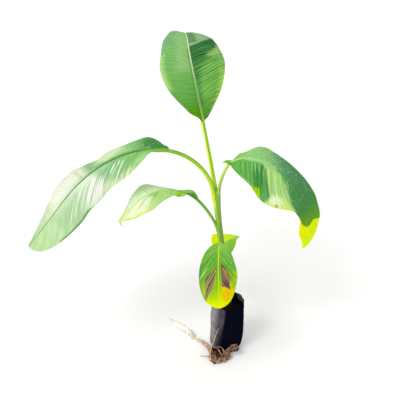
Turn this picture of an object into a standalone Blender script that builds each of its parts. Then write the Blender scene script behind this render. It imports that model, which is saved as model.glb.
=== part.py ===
"""Young banana plant in a black nursery bag, with roots grown out at the foot of the bag.

Metres, +Z up. The origin is the centre of the bag's flat underside, and -Y is the front.
Each leaf is a petiole and a blade. Both follow one bending line, given by its pitch above
the horizontal and its heading seen from above (0 is +X, 90 is +Y), in degrees.
"""

from dataclasses import dataclass
from math import atan2, cos, pi, radians, sin, tan

import bmesh
import bpy
from mathutils import Vector

GAP = 0.0003            # clearance between pieces that touch

# Nursery bag: 127 mm x 178 mm laid flat, which fills to a sleeve about 82 mm across.
BAG_LEAN = radians(4.5)             # to the right, towards +X
BAG_WALL = 0.0012
BAG_RIM_HEIGHT = 0.134
BAG_RIM_RISE = 0.007                # the rim stands this much higher at its back right
BAG_RIM_RISE_BEARING = radians(55)
BAG_SIDES = 36
BAG_OUTLINE = (                     # height and outer radius, from the underside to the rim
    (0.000, 0.0310), (0.0035, 0.0345), (0.012, 0.0376), (0.030, 0.0394),
    (0.060, 0.0406), (0.095, 0.0412), (0.120, 0.0410), (BAG_RIM_HEIGHT, 0.0402),
)

# Soil, level across most of the bag and lower at the bag's wall.
SOIL_TOP = 0.1220
SOIL_EDGE_DROP = 0.005
SOIL_LEVEL_SHARE = 0.72

# Pseudostem, cut flat where it leaves the soil and where the top three petioles part.
STEM_FOOT_X = 0.0062
STEM_LEAN = radians(5.4)            # to the left, towards -X
STEM_FOOT = SOIL_TOP + GAP
FORK = 0.4500
STEM_SIDES = 20
STEM_OUTLINE = (                    # height, half width along X, half depth along Y
    (STEM_FOOT, 0.0128, 0.0124), (0.129, 0.0114, 0.0110), (0.150, 0.0101, 0.0098),
    (0.200, 0.0091, 0.0089), (0.260, 0.0082, 0.0081), (0.320, 0.0073, 0.0074),
    (0.375, 0.0065, 0.0069), (0.412, 0.0074, 0.0077), (0.435, 0.0091, 0.0085),
    (FORK, 0.0102, 0.0092),
)

PETIOLE_STEPS = 12
BLADE_STEPS = 16
BLADE_THICKNESS_SHARE = 0.0102      # of the blade's length
TIP_HALF_WIDTH = 0.0016
RIB_END_RADIUS = 0.0012

# Roots: a knot that swells out of a hole low in the bag's front left, and strands from it.
HOLE_BEARING = radians(-122)
HOLE_HEIGHT = 0.016
HOLE_RADIUS = 0.0070
KNOT_CENTRE = Vector((-0.0185, -0.0500, 0.0115))
KNOT_RADII = Vector((0.0205, 0.0235, 0.0165))
FLOOR_CLEARANCE = 0.0006
ROOT_SIDES = 7


# ---------------------------------------------------------------- general tools

def clear_scene():
    for obj in list(bpy.data.objects):
        bpy.data.objects.remove(obj, do_unlink=True)


def make_material(name, colour, roughness):
    mat = bpy.data.materials.new(name)
    mat.use_nodes = True
    shader = mat.node_tree.nodes["Principled BSDF"]
    shader.inputs["Base Color"].default_value = (*colour, 1.0)
    shader.inputs["Roughness"].default_value = roughness
    shader.inputs["Metallic"].default_value = 0.0
    return mat


def smooth_value(values, t):
    """Smooth curve through evenly spaced values, read at t from 0 to 1."""
    ends = (2 * values[0] - values[1], *values, 2 * values[-1] - values[-2])
    place = min(max(t, 0.0), 1.0) * (len(values) - 1)
    span = min(int(place), len(values) - 2)
    f = place - span
    a, b, c, d = ends[span:span + 4]
    return b + 0.5 * f * (c - a + f * (2 * a - 5 * b + 4 * c - d + f * (3 * (b - c) + d - a)))


def between(outline, height, column):
    """Value of one column of an outline at a height, straight between its rows."""
    for low, high in zip(outline, outline[1:]):
        if height <= high[0]:
            share = (height - low[0]) / (high[0] - low[0])
            return low[column] + (high[column] - low[column]) * max(share, 0.0)
    return outline[-1][column]


def object_from(name, bm, mat):
    bmesh.ops.recalc_face_normals(bm, faces=bm.faces)
    mesh = bpy.data.meshes.new(name)
    bm.to_mesh(mesh)
    bm.free()
    mesh.materials.append(mat)
    mesh.shade_smooth()
    mesh.set_sharp_from_angle(angle=radians(40))
    obj = bpy.data.objects.new(name, mesh)
    bpy.context.scene.collection.objects.link(obj)
    return obj


def loft(name, rings, mat):
    """Closed body through rings of equal count, with a flat cap at each end."""
    bm = bmesh.new()
    loops = [[bm.verts.new(point) for point in ring] for ring in rings]
    for low, high in zip(loops, loops[1:]):
        for i in range(len(low)):
            j = (i + 1) % len(low)
            bm.faces.new((low[i], low[j], high[j], high[i]))
    bm.faces.new(reversed(loops[0]))
    bm.faces.new(loops[-1])
    return object_from(name, bm, mat)


def boolean(obj, operation, other):
    """Union with another solid, or the cut by it; the other solid is then used up."""
    modifier = obj.modifiers.new(operation.title(), "BOOLEAN")
    modifier.operation = operation
    modifier.solver = "EXACT"
    modifier.object = other
    bpy.context.view_layer.update()
    depsgraph = bpy.context.evaluated_depsgraph_get()
    mesh = bpy.data.meshes.new_from_object(obj.evaluated_get(depsgraph))
    obj.modifiers.remove(modifier)
    old = obj.data
    obj.data = mesh
    mesh.name = obj.name
    bpy.data.meshes.remove(old)
    bpy.data.objects.remove(other, do_unlink=True)


def circle(count, start=0.0):
    return [start + 2 * pi * i / count for i in range(count)]


def flat_ring(centre, radius):
    return [centre + Vector((radius * cos(a), radius * sin(a), 0)) for a in circle(BAG_SIDES)]


# ---------------------------------------------------------------- bag and soil

def bag_axis(height):
    return Vector((height * tan(BAG_LEAN), 0.0, height))


def rim_lift(bearing, height):
    """The rim's rise at its back right, fading out below the soil's top."""
    share = max(0.0, (height - 0.118) / (BAG_RIM_HEIGHT - 0.118))
    towards = 0.5 + 0.5 * cos(bearing - BAG_RIM_RISE_BEARING)
    return BAG_RIM_RISE * towards * share


def bag_ring(height, radius):
    centre = bag_axis(height)
    return [
        centre + Vector((radius * cos(a), radius * sin(a), rim_lift(a, height)))
        for a in circle(BAG_SIDES)
    ]


def make_bag(mat):
    outer = [bag_ring(height, radius) for height, radius in BAG_OUTLINE]
    inner = [
        bag_ring(max(height, BAG_WALL), radius - BAG_WALL)
        for height, radius in reversed(BAG_OUTLINE)
    ]
    bag = loft("bag", outer + inner, mat)
    boolean(bag, "DIFFERENCE", root_neck("hole_cutter", HOLE_RADIUS, mat))
    return bag


def make_soil(mat):
    rings = []
    lowest = BAG_WALL + GAP
    edge = SOIL_TOP - SOIL_EDGE_DROP
    for height, radius in BAG_OUTLINE:
        if height < edge:
            rings.append(bag_ring(max(height, lowest), radius - BAG_WALL - GAP))
    edge_radius = between(BAG_OUTLINE, edge, 1) - BAG_WALL - GAP
    centre = bag_axis(edge)
    rings.append(flat_ring(centre, edge_radius))
    level_radius = edge_radius * SOIL_LEVEL_SHARE
    top = bag_axis(SOIL_TOP)
    rings.append(flat_ring(top, level_radius))
    return loft("potting_soil", rings, mat)


# ---------------------------------------------------------------- pseudostem

def stem_centre(height):
    return Vector((STEM_FOOT_X - (height - STEM_FOOT) * tan(STEM_LEAN), 0.0, height))


def make_stem(mat):
    rings = []
    for height, half_width, half_depth in STEM_OUTLINE:
        centre = stem_centre(height)
        rings.append([
            centre + Vector((half_width * cos(a), half_depth * sin(a), 0))
            for a in circle(STEM_SIDES)
        ])
    return loft("pseudostem", rings, mat)


def beside_stem(height, bearing, radius):
    """Foot of a petiole that stands against the pseudostem's side at this bearing."""
    half_width = between(STEM_OUTLINE, height, 1)
    half_depth = between(STEM_OUTLINE, height, 2)
    reach = GAP + radius
    return stem_centre(height) + Vector((
        (half_width + reach) * cos(bearing), (half_depth + reach) * sin(bearing), 0))


def on_fork(offset_x, offset_y):
    """Foot of a petiole that stands on the pseudostem's flat top."""
    return stem_centre(FORK) + Vector((offset_x, offset_y, GAP))


# ---------------------------------------------------------------- leaves

@dataclass
class Leaf:
    """One leaf: sizes in metres, angles in degrees, left and right as seen from its foot."""
    name: str
    foot: Vector
    petiole_length: float
    petiole_radius: tuple       # at the foot and at the blade
    petiole_pitch: tuple
    petiole_heading: tuple
    blade_length: float
    blade_pitch: tuple          # after the petiole's end, evenly spaced to the tip
    blade_heading: tuple
    left_width: float           # widest half width on each side of the midrib
    right_width: float
    left_shape: tuple           # how fast the half opens at the base and closes at the tip
    right_shape: tuple
    left_lift: tuple            # each half's angle above level, from base to tip
    right_lift: tuple
    curl: float                 # how far each half curls down from its midrib to its margin


def banana_leaves():
    return (
        Leaf("top", on_fork(0.0006, 0.0044), 0.164, (0.0045, 0.0038), (72, 78), (125, 135),
             0.275, (56, 22, -42), (111, 98, 98), 0.0695, 0.0775, (0.61, 0.65), (0.71, 0.53),
             (55, 10, -2, 30), (20, 18, -2, 8), 35),
        Leaf("left", on_fork(-0.0052, -0.0032), 0.154, (0.0045, 0.0037), (83, 15), (171, 186),
             0.400, (-17, -48, -49), (206, 200, 192), 0.0600, 0.0760, (0.65, 0.42), (0.58, 0.54),
             (45, -46, -35, -45), (30, -10, 8, 0), 19),
        Leaf("right", on_fork(0.0062, -0.0022), 0.089, (0.0034, 0.0032), (93, 52), (-7, -40),
             0.354, (-27, -55, -80, -101), (14, -15, -18), 0.0825, 0.0780, (1.08, 0.63), (0.92, 1.32),
             (15, 12, 0, 27), (-36, -65, -2, -55), -6),
        Leaf("left_low", beside_stem(0.351, radians(203), 0.0034), 0.126, (0.0034, 0.0030),
             (84, 33), (172, 195), 0.188, (2, -41, -52), (202, 193, 177), 0.0300, 0.0540,
             (1.02, 0.84), (1.17, 0.80), (-14, -31, -25), (-25, 5, 6), 22),
        Leaf("front", beside_stem(0.234, radians(-93), 0.0033), 0.146, (0.0033, 0.0028),
             (91, 39), (-109, -98), 0.167, (-55, -64, -79), (-92, -86, -81), 0.0420, 0.0428,
             (0.68, 0.43), (0.70, 0.49), (1, -4, -6), (0, -7, -13), 16),
        Leaf("back", beside_stem(0.203, radians(92), 0.0030), 0.055, (0.0030, 0.0027),
             (86, 69), (95, 93), 0.135, (18, -45, -66), (84, 76, 74), 0.0350, 0.0330,
             (0.51, 0.61), (0.63, 0.60), (18, -8, -7), (14, -2, -5), 19),
    )


def walk(foot, length, pitches, headings, steps):
    """Stations along a bending line: point, tangent, side (to the left) and normal (up)."""
    def direction(t):
        pitch = radians(smooth_value(pitches, t))
        heading = radians(smooth_value(headings, t))
        tangent = Vector((cos(pitch) * cos(heading), cos(pitch) * sin(heading), sin(pitch)))
        side = Vector((-sin(heading), cos(heading), 0.0))
        return tangent, side

    stations = []
    point = foot.copy()
    for i in range(steps + 1):
        tangent, side = direction(i / steps)
        stations.append((point.copy(), tangent, side, tangent.cross(side)))
        point += direction((i + 0.5) / steps)[0] * (length / steps)
    return stations


# Petiole section in radii, across and up: a stalk with a shallow channel along its top.
PETIOLE_SECTION = (
    (0.0, 0.45), (0.55, 0.85), (1.0, 0.25), (0.85, -0.50), (0.35, -0.95),
    (-0.35, -0.95), (-0.85, -0.50), (-1.0, 0.25), (-0.55, 0.85),
)


def petiole_stations(leaf):
    return walk(leaf.foot, leaf.petiole_length, leaf.petiole_pitch, leaf.petiole_heading,
                PETIOLE_STEPS)


def make_petiole(leaf, mat):
    stations = petiole_stations(leaf)
    rings = []
    for i, (point, tangent, side, normal) in enumerate(stations):
        t = i / PETIOLE_STEPS
        radius = leaf.petiole_radius[0] + (leaf.petiole_radius[1] - leaf.petiole_radius[0]) * t
        ring = [point + side * (-x * radius) + normal * (y * radius) for x, y in PETIOLE_SECTION]
        rings.append(ring)
    # The foot is cut level, along the stalk's own direction.
    tangent = stations[0][1]
    rings[0] = [p + tangent * ((leaf.foot.z - p.z) / tangent.z) for p in rings[0]]
    return loft("petiole_" + leaf.name, rings, mat)


def half_width(t, widest, shape):
    """Half width along the blade: t**opening and (1 - t)**closing, scaled to its widest."""
    opening, closing = shape
    peak = opening / (opening + closing)
    scale = peak ** opening * (1 - peak) ** closing
    return widest * t ** opening * (1 - t) ** closing / scale


LAMINA_STEPS = 3


def lamina_side(station, sign, rib, width, lift, curl):
    """Points across one half from the rib's edge to the margin, with their normals."""
    point, _, side, normal = station
    across = max(width, rib + TIP_HALF_WIDTH) - rib
    place = point + side * (sign * rib * cos(lift)) + normal * (rib * sin(lift))
    pairs = [(place.copy(), normal * cos(lift) - side * (sign * sin(lift)))]
    for k in range(LAMINA_STEPS):
        angle = lift - curl * (k + 0.5) / LAMINA_STEPS
        place = place + (side * (sign * cos(angle)) + normal * sin(angle)) * (across / LAMINA_STEPS)
        pairs.append((place.copy(), normal * cos(angle) - side * (sign * sin(angle))))
    return pairs


def blade_ring(leaf, station, t):
    rib = leaf.petiole_radius[1] * (1 - t) + RIB_END_RADIUS * t
    thickness = leaf.blade_length * BLADE_THICKNESS_SHARE
    curl = radians(leaf.curl)
    left = lamina_side(station, 1, rib, half_width(t, leaf.left_width, leaf.left_shape),
                       radians(smooth_value(leaf.left_lift, t)), curl)
    right = lamina_side(station, -1, rib, half_width(t, leaf.right_width, leaf.right_shape),
                        radians(smooth_value(leaf.right_lift, t)), curl)
    point, _, side, normal = station
    keel = max(thickness, rib) + rib * 0.8
    upper = [p for p, _ in reversed(left)] + [point] + [p for p, _ in right]
    lower_right = [p - n * thickness for p, n in reversed(right)]
    lower_left = [p - n * thickness for p, n in left]
    return upper + lower_right + [point - normal * keel] + lower_left


def make_blade(leaf, mat):
    end, tangent, _, _ = petiole_stations(leaf)[-1]
    stations = walk(end + tangent * GAP, leaf.blade_length,
                    (leaf.petiole_pitch[1], *leaf.blade_pitch),
                    (leaf.petiole_heading[1], *leaf.blade_heading), BLADE_STEPS)
    rings = [blade_ring(leaf, station, i / BLADE_STEPS) for i, station in enumerate(stations)]
    return loft("blade_" + leaf.name, rings, mat)


# ---------------------------------------------------------------- roots

def root_neck(name, radius, mat, inner_end=0.0):
    """Short cylinder through the hole, along the line from the bag's axis to the knot."""
    axis_point = bag_axis(HOLE_HEIGHT)
    outward = Vector((cos(HOLE_BEARING), sin(HOLE_BEARING), -0.05)).normalized()
    side = Vector((-outward.y, outward.x, 0)).normalized()
    up = outward.cross(side)
    wall = between(BAG_OUTLINE, HOLE_HEIGHT, 1)
    start = axis_point + outward * (wall - 0.006 if inner_end == 0 else inner_end)
    stop = axis_point + outward * (wall + 0.008)
    rings = []
    for centre in (start, stop):
        rings.append([centre + side * (radius * cos(a)) + up * (radius * sin(a)) for a in circle(12)])
    return loft(name, rings, mat)


def tube(name, route, radii, mat, sides=ROOT_SIDES):
    """Tapering root through a smooth curve of points."""
    steps = (len(route) - 1) * 4
    points = []
    for i in range(steps + 1):
        t = i / steps
        points.append(Vector([smooth_value([p[axis] for p in route], t) for axis in range(3)]))
    rings = []
    normal = Vector((0, 0, 1))
    for i, point in enumerate(points):
        ahead = points[min(i + 1, steps)]
        behind = points[max(i - 1, 0)]
        tangent = (ahead - behind).normalized()
        side = tangent.cross(normal).normalized()
        normal = side.cross(tangent).normalized()
        radius = smooth_value(radii, i / steps)
        rings.append([
            point + side * (radius * cos(a)) + normal * (radius * sin(a)) for a in circle(sides)])
    return loft(name, rings, mat)


def bag_solid(name, grow, mat):
    """The bag's whole outer shape, grown by a clearance."""
    rings = [bag_ring(height, radius + grow) for height, radius in BAG_OUTLINE]
    return loft(name, rings, mat)


def knot_body(name, grow, mat):
    """Lumpy mound of roots, kept off the floor."""
    bm = bmesh.new()
    bmesh.ops.create_icosphere(bm, subdivisions=3, radius=1.0)
    for vert in bm.verts:
        direction = vert.co.normalized()
        bearing = atan2(direction.y, direction.x)
        lump = 1 + 0.09 * cos(5 * bearing + 0.7) * (1 - direction.z ** 2)
        lump += 0.06 * cos(4 * direction.z + 2 * bearing)
        x, y, z = (direction[i] * (KNOT_RADII[i] * lump + grow) for i in range(3))
        vert.co = KNOT_CENTRE + Vector((x, y, z))
        vert.co.z = max(vert.co.z, FLOOR_CLEARANCE - grow)
    return object_from(name, bm, mat)


def make_knot(mat):
    knot = knot_body("root_knot", 0.0, mat)
    boolean(knot, "DIFFERENCE", bag_solid("bag_cutter", GAP, mat))
    wall = between(BAG_OUTLINE, HOLE_HEIGHT, 1)
    boolean(knot, "UNION", root_neck("neck", HOLE_RADIUS - GAP, mat, wall - BAG_WALL))
    return knot


# Each root's route and radii. A route starts inside the knot, and is cut clear of it.
TRAIL_Z = 0.0026
ROOTS = {
    "root_trailing": (
        ((-0.028, -0.050, 0.010), (-0.045, -0.024, 0.006), (-0.059, 0.002, 0.004),
         (-0.076, 0.026, TRAIL_Z), (-0.090, 0.054, TRAIL_Z), (-0.113, 0.080, TRAIL_Z),
         (-0.155, 0.106, 0.0020)),
        (0.0030, 0.0026, 0.0019, 0.0009)),
    "root_hook": (
        ((-0.010, -0.056, 0.010), (0.003, -0.052, 0.017), (0.014, -0.046, 0.0225),
         (0.025, -0.041, 0.0255), (0.0325, -0.039, 0.018), (0.028, -0.041, 0.009),
         (0.0195, -0.044, 0.0115)),
        (0.0038, 0.0040, 0.0036, 0.0034)),
    "root_whisker": (
        ((-0.032, -0.056, 0.006), (-0.046, -0.047, 0.005), (-0.064, -0.042, 0.0020)),
        (0.0022, 0.0014, 0.0008)),
}


def make_root(name, mat):
    route, radii = ROOTS[name]
    root = tube(name, route, radii, mat)
    boolean(root, "DIFFERENCE", knot_body("knot_cutter", GAP, mat))
    return root


CLIMB_LOW = 0.026
CLIMB_HIGH = 0.076
CLIMB_LOW_BEARING = radians(-149)
CLIMB_HIGH_BEARING = radians(-121)
CLIMB_RADII = (0.0020, 0.0017, 0.0013)


def make_climbing_root(mat):
    """Root that lies up the bag's wall, from the knot to the hole it grew out of."""
    route = []
    steps = 5
    for i in range(steps + 1):
        t = i / steps
        height = CLIMB_LOW + (CLIMB_HIGH - CLIMB_LOW) * t
        bearing = CLIMB_LOW_BEARING + (CLIMB_HIGH_BEARING - CLIMB_LOW_BEARING) * t
        reach = between(BAG_OUTLINE, height, 1) + GAP + CLIMB_RADII[0]
        route.append(bag_axis(height) + Vector((reach * cos(bearing), reach * sin(bearing), 0)))
    root = tube("root_climbing", route, CLIMB_RADII, mat)
    boolean(root, "DIFFERENCE", knot_body("knot_cutter", GAP, mat))
    return root


# ---------------------------------------------------------------- the plant

def build():
    clear_scene()
    bag_plastic = make_material("bag_plastic", (0.012, 0.013, 0.016), 0.45)
    soil = make_material("soil", (0.035, 0.022, 0.014), 0.95)
    stem_green = make_material("stem_green", (0.24, 0.42, 0.05), 0.45)
    leaf_green = make_material("leaf_green", (0.10, 0.32, 0.06), 0.45)
    root_brown = make_material("root_brown", (0.32, 0.20, 0.12), 0.85)
    make_bag(bag_plastic)
    make_soil(soil)
    make_stem(stem_green)
    for leaf in banana_leaves():
        make_petiole(leaf, stem_green)
        make_blade(leaf, leaf_green)
    make_knot(root_brown)
    for name in ROOTS:
        make_root(name, root_brown)
    make_climbing_root(root_brown)


build()
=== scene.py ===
"""Looks of a young banana plant in a black nursery bag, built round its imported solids.

Metres, +Z up, in the solids' own frame: the origin is the centre of the bag's underside and
-Y is the front. Each leaf follows the solids' rule: a bending line, given by its pitch and
heading in degrees, carries a petiole and a blade. Here the rule is carried to finer detail:
a sheath round the stem, a grooved stalk with its midrib, and two thin halves with veins.
The leaves' table gives places on a blade in per cent: along, from its base to its tip, and
across, from its midrib to its margin. Colours are screen values of 0 to 255.
"""

from dataclasses import dataclass
from math import cos, pi, radians, sin, tan

import bpy
import numpy as np
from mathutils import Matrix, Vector


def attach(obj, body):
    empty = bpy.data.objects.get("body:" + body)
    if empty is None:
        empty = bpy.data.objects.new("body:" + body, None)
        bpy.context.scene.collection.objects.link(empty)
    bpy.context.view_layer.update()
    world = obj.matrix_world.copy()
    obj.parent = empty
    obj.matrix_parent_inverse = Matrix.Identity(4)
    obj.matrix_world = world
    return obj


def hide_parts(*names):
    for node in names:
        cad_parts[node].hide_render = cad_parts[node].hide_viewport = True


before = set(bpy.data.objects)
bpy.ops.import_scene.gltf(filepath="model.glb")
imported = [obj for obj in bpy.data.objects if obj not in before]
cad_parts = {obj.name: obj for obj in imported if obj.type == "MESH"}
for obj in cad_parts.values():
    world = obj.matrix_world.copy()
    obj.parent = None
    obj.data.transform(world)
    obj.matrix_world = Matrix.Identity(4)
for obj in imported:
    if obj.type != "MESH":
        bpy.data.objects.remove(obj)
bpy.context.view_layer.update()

# ---------------------------------------------------------------- camera, light and floor

CAMERA_TARGET = Vector((-0.038, 0.0, 0.405))
CAMERA_ELEVATION = radians(32)
CAMERA_DISTANCE = 1.8
CAMERA_SENSOR = 36.0                # mm
CAMERA_LENS = 67.886                # mm
SUN_BEARING = radians(-128)         # the light comes from the front left, and from high up
SUN_ELEVATION = radians(52)
SUN_STRENGTH = 1.35
SUN_SPREAD = radians(24)
SKY_STRENGTH = 0.66
FLOOR_GLOW = 0.13                   # keeps the pale paper near white
FLOOR_SIZE = 24.0

# ---------------------------------------------------------------- sizes shared with the solids

GAP = 0.0003
BAG_LEAN = radians(4.5)             # to the right, towards +X
BAG_WALL = 0.0012
BAG_RIM_HEIGHT = 0.134
BAG_RIM_RISE = 0.007
BAG_RIM_RISE_BEARING = radians(55)
BAG_OUTLINE = (                     # height and outer radius
    (0.000, 0.0310), (0.0035, 0.0345), (0.012, 0.0376), (0.030, 0.0394),
    (0.060, 0.0406), (0.095, 0.0412), (0.120, 0.0410), (BAG_RIM_HEIGHT, 0.0402),
)
SOIL_TOP = 0.1220
SOIL_EDGE_DROP = 0.005

STEM_FOOT_X = 0.0062
STEM_LEAN = radians(5.4)            # to the left, towards -X
STEM_FOOT = SOIL_TOP + GAP
FORK = 0.4500
STEM_OUTLINE = (                    # height, half width along X, half depth along Y
    (STEM_FOOT, 0.0128, 0.0124), (0.129, 0.0114, 0.0110), (0.150, 0.0101, 0.0098),
    (0.200, 0.0091, 0.0089), (0.260, 0.0082, 0.0081), (0.320, 0.0073, 0.0074),
    (0.375, 0.0065, 0.0069), (0.412, 0.0074, 0.0077), (0.435, 0.0091, 0.0085),
    (FORK, 0.0102, 0.0092),
)

TIP_HALF_WIDTH = 0.0016
RIB_END_RADIUS = 0.0012

# ---------------------------------------------------------------- detail of the leaves

VEIN_SPACING = 0.0065
ROWS_PER_VEIN = 8
LAMINA_COLUMNS = 32
LAMINA_THICKNESS = 0.0006
BLADE_STATIONS = 400
PETIOLE_STATIONS = 60
MIDRIB_STATIONS = 130
FLAP_STATIONS = 28
END_SHARE = 0.02                    # of the blade, at each end, with closer rows
END_ROWS = 7
VEIN_RELIEF = 0.00016
UNDER_POINTS = 15                   # round a stalk's underside, edge to edge
OVER_POINTS = 13                    # back over its channel
SHEATH_CORE = 0.80                  # of the stem's outline: where the sheaths start
PETIOLE_SHARE = 1.18                # of the solid petiole's radius, with its rounded edges
RIB_BLEND = 0.08                    # of the blade, over which the petiole turns into the midrib
SHEATH_HEAD_WRAP = 62               # degrees: widest half angle of a sheath at its head
BLUR_ROWS = 9                       # rows of a stalk over which the joins of its tints blend
UNDERSIDE_TINT = (214, 232, 190)
LEFT_BOX = (0.01, 0.01, 0.99, 0.46)     # places of a blade's halves in its bake map
RIGHT_BOX = (0.01, 0.47, 0.99, 0.92)


# ---------------------------------------------------------------- numbers and noise

CLOUD_WAVES = 14


def srgb(red, green, blue):
    """Linear colour from screen values of 0 to 255."""
    values = np.array([red, green, blue]) / 255
    return np.where(values <= 0.04045, values / 12.92, ((values + 0.055) / 1.055) ** 2.4)


def unit(vectors):
    return vectors / np.linalg.norm(vectors, axis=-1, keepdims=True)


def shares(count):
    return np.linspace(0, 1, count)


def even_angles(count):
    return np.linspace(0, 2 * pi, count, endpoint=False)


def run_lengths(points):
    """Length of the way along a line of points, up to each of them."""
    return np.concatenate([[0], np.cumsum(np.linalg.norm(np.diff(points, axis=0), axis=1))])


def flat_ring(angles, across, deep=None, height=0.0):
    """Points of a level ring from its radius, or from its half width and half depth."""
    deep = across if deep is None else deep
    return np.stack([across * np.cos(angles), deep * np.sin(angles), height + 0 * angles], -1)


def raise_to(points, floor):
    """Lifts the points that lie under a height up to it."""
    points[..., 2] = np.maximum(points[..., 2], floor)


def smooth(values, t):
    """Smooth curve through evenly spaced values or points, read at the shares t."""
    knots = np.asarray(values, float)
    ends = np.concatenate([[2 * knots[0] - knots[1]], knots, [2 * knots[-1] - knots[-2]]])
    place = np.clip(t, 0.0, 1.0) * (len(knots) - 1)
    span = np.minimum(np.asarray(place, int), len(knots) - 2)
    f = place - span
    if knots.ndim > 1:
        f = f[..., None]
    a, b, c, d = (ends[span + i] for i in range(4))
    return b + 0.5 * f * (c - a + f * (2 * a - 5 * b + 4 * c - d + f * (3 * (b - c) + d - a)))


def level(values, t):
    """Straight run through evenly spaced values or points, read at the shares t."""
    table = np.asarray(values, float)
    places = shares(len(table))
    if table.ndim == 1:
        return np.interp(t, places, table)
    return np.stack([np.interp(t, places, column) for column in table.T], -1)


def ramp(colours, t):
    """Linear colours along evenly spaced screen colours, read at the shares t."""
    return level([srgb(*colour) for colour in colours], t)


def step(low, high, x):
    """0 below low and 1 above high, with a smooth turn between."""
    f = np.clip((x - low) / (high - low), 0.0, 1.0)
    return f * f * (3 - 2 * f)


def band(low, high, soft, x):
    """1 between low and high, fading over the soft width at both ends."""
    return step(low - soft, low + soft, x) * step(high + soft, high - soft, x)


def clouds(points, size, seed):
    """Seeded smooth noise from about -1 to 1 over points of any number of coordinates."""
    rng = np.random.default_rng(seed)
    directions = unit(rng.normal(size=(CLOUD_WAVES, points.shape[-1])))
    lengths = size * rng.uniform(0.6, 1.6, CLOUD_WAVES)
    starts = rng.uniform(0, 2 * pi, CLOUD_WAVES)
    total = np.zeros(points.shape[:-1])
    for direction, length, start in zip(directions, lengths, starts):
        total += np.sin(points @ direction * (2 * pi / length) + start)
    return total / np.sqrt(CLOUD_WAVES)


def between(outline, height, column):
    heights = [row[0] for row in outline]
    return np.interp(height, heights, [row[column] for row in outline])


# ---------------------------------------------------------------- meshes

class Skin:
    """Collects closed tubes into one mesh, with a tint, a grain coordinate and a bake map."""

    def __init__(self):
        self.points = []
        self.tints = []
        self.grains = []
        self.specks = []
        self.quads = []
        self.maps = []
        self.count = 0

    def add(self, rows, tints, grains, box=(0, 0, 1, 1), specks=0.0):
        """Rings of an even number of points, joined row by row and zipped flat at both ends.

        The box is the tube's place in the bake map: u and v of its low and its high corner.
        """
        row_count, ring_count = rows.shape[:2]
        index = self.count + np.arange(row_count * ring_count).reshape(row_count, ring_count)
        after = np.roll(index, -1, axis=1)
        sides = np.stack([index[:-1], after[:-1], after[1:], index[1:]], -1).reshape(-1, 4)
        u = np.linspace(box[0], box[2], row_count)
        v = np.linspace(box[1], box[3], ring_count + 1)
        u_low, v_low = np.meshgrid(u[:-1], v[:-1], indexing="ij")
        u_high, v_high = np.meshgrid(u[1:], v[1:], indexing="ij")
        corners = [(u_low, v_low), (u_low, v_high), (u_high, v_high), (u_high, v_low)]
        side_maps = np.stack([np.stack(pair, -1) for pair in corners], -2).reshape(-1, 4, 2)
        self.quads.append(sides)
        self.maps.append(side_maps)
        half = ring_count // 2
        near = np.arange(half - 1)
        far = ring_count - 1 - near
        for ring, u_end, flip in ((index[0], u[0], True), (index[-1], u[-1], False)):
            cap = np.stack([ring[near], ring[near + 1], ring[far - 1], ring[far]], -1)
            cap_map = np.stack([v[near], v[near + 1], v[far - 1], v[far]], -1)
            cap_map = np.stack([np.full_like(cap_map, u_end), cap_map], -1)
            self.quads.append(cap[:, ::-1] if flip else cap)
            self.maps.append(cap_map[:, ::-1] if flip else cap_map)
        self.points.append(rows.reshape(-1, 3))
        full = (row_count, ring_count, 3)
        self.tints.append(np.broadcast_to(tints, full).reshape(-1, 3).copy())
        self.grains.append(np.broadcast_to(grains, full).reshape(-1, 3))
        self.specks.append(np.broadcast_to(specks, full[:2]).reshape(-1))
        self.count += row_count * ring_count

    def finish(self, name, material, sharp=radians(60)):
        points = np.concatenate(self.points)
        quads = np.concatenate(self.quads)
        mesh = bpy.data.meshes.new(name)
        mesh.vertices.add(len(points))
        mesh.vertices.foreach_set("co", points.astype(np.float32).ravel())
        mesh.loops.add(len(quads) * 4)
        mesh.loops.foreach_set("vertex_index", quads.astype(np.int32).ravel())
        mesh.polygons.add(len(quads))
        mesh.polygons.foreach_set("loop_start", np.arange(0, len(quads) * 4, 4, dtype=np.int32))
        mesh.update(calc_edges=True)
        bake_map = mesh.uv_layers.new(name="OFBake")
        bake_map.uv.foreach_set("vector", np.concatenate(self.maps).astype(np.float32).ravel())
        opaque = np.pad(np.concatenate(self.tints), ((0, 0), (0, 1)), constant_values=1.0)
        for layer, kind, field, values in (
                ("tint", "FLOAT_COLOR", "color", opaque),
                ("grain", "FLOAT_VECTOR", "vector", np.concatenate(self.grains)),
                ("speck", "FLOAT", "value", np.concatenate(self.specks))):
            attribute = mesh.attributes.new(layer, kind, "POINT")
            attribute.data.foreach_set(field, values.astype(np.float32).ravel())
        mesh.materials.append(material)
        mesh.shade_smooth()
        mesh.set_sharp_from_angle(angle=sharp)
        return place_object(name, mesh)


def slice_box(low, high, number, count, tall):
    """Place in the bake map of one of several tubes that start evenly from low to high."""
    start = low + (high - low) * number / count
    return (0, start, 1, start + tall)


def place_object(name, data):
    made = bpy.data.objects.new(name, data)
    bpy.context.scene.collection.objects.link(made)
    return made


def mount(piece, slot, *nodes):
    """A piece that stands for these solids, which are hidden."""
    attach(piece, "root")
    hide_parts(*nodes)
    return piece


# ---------------------------------------------------------------- materials

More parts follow.
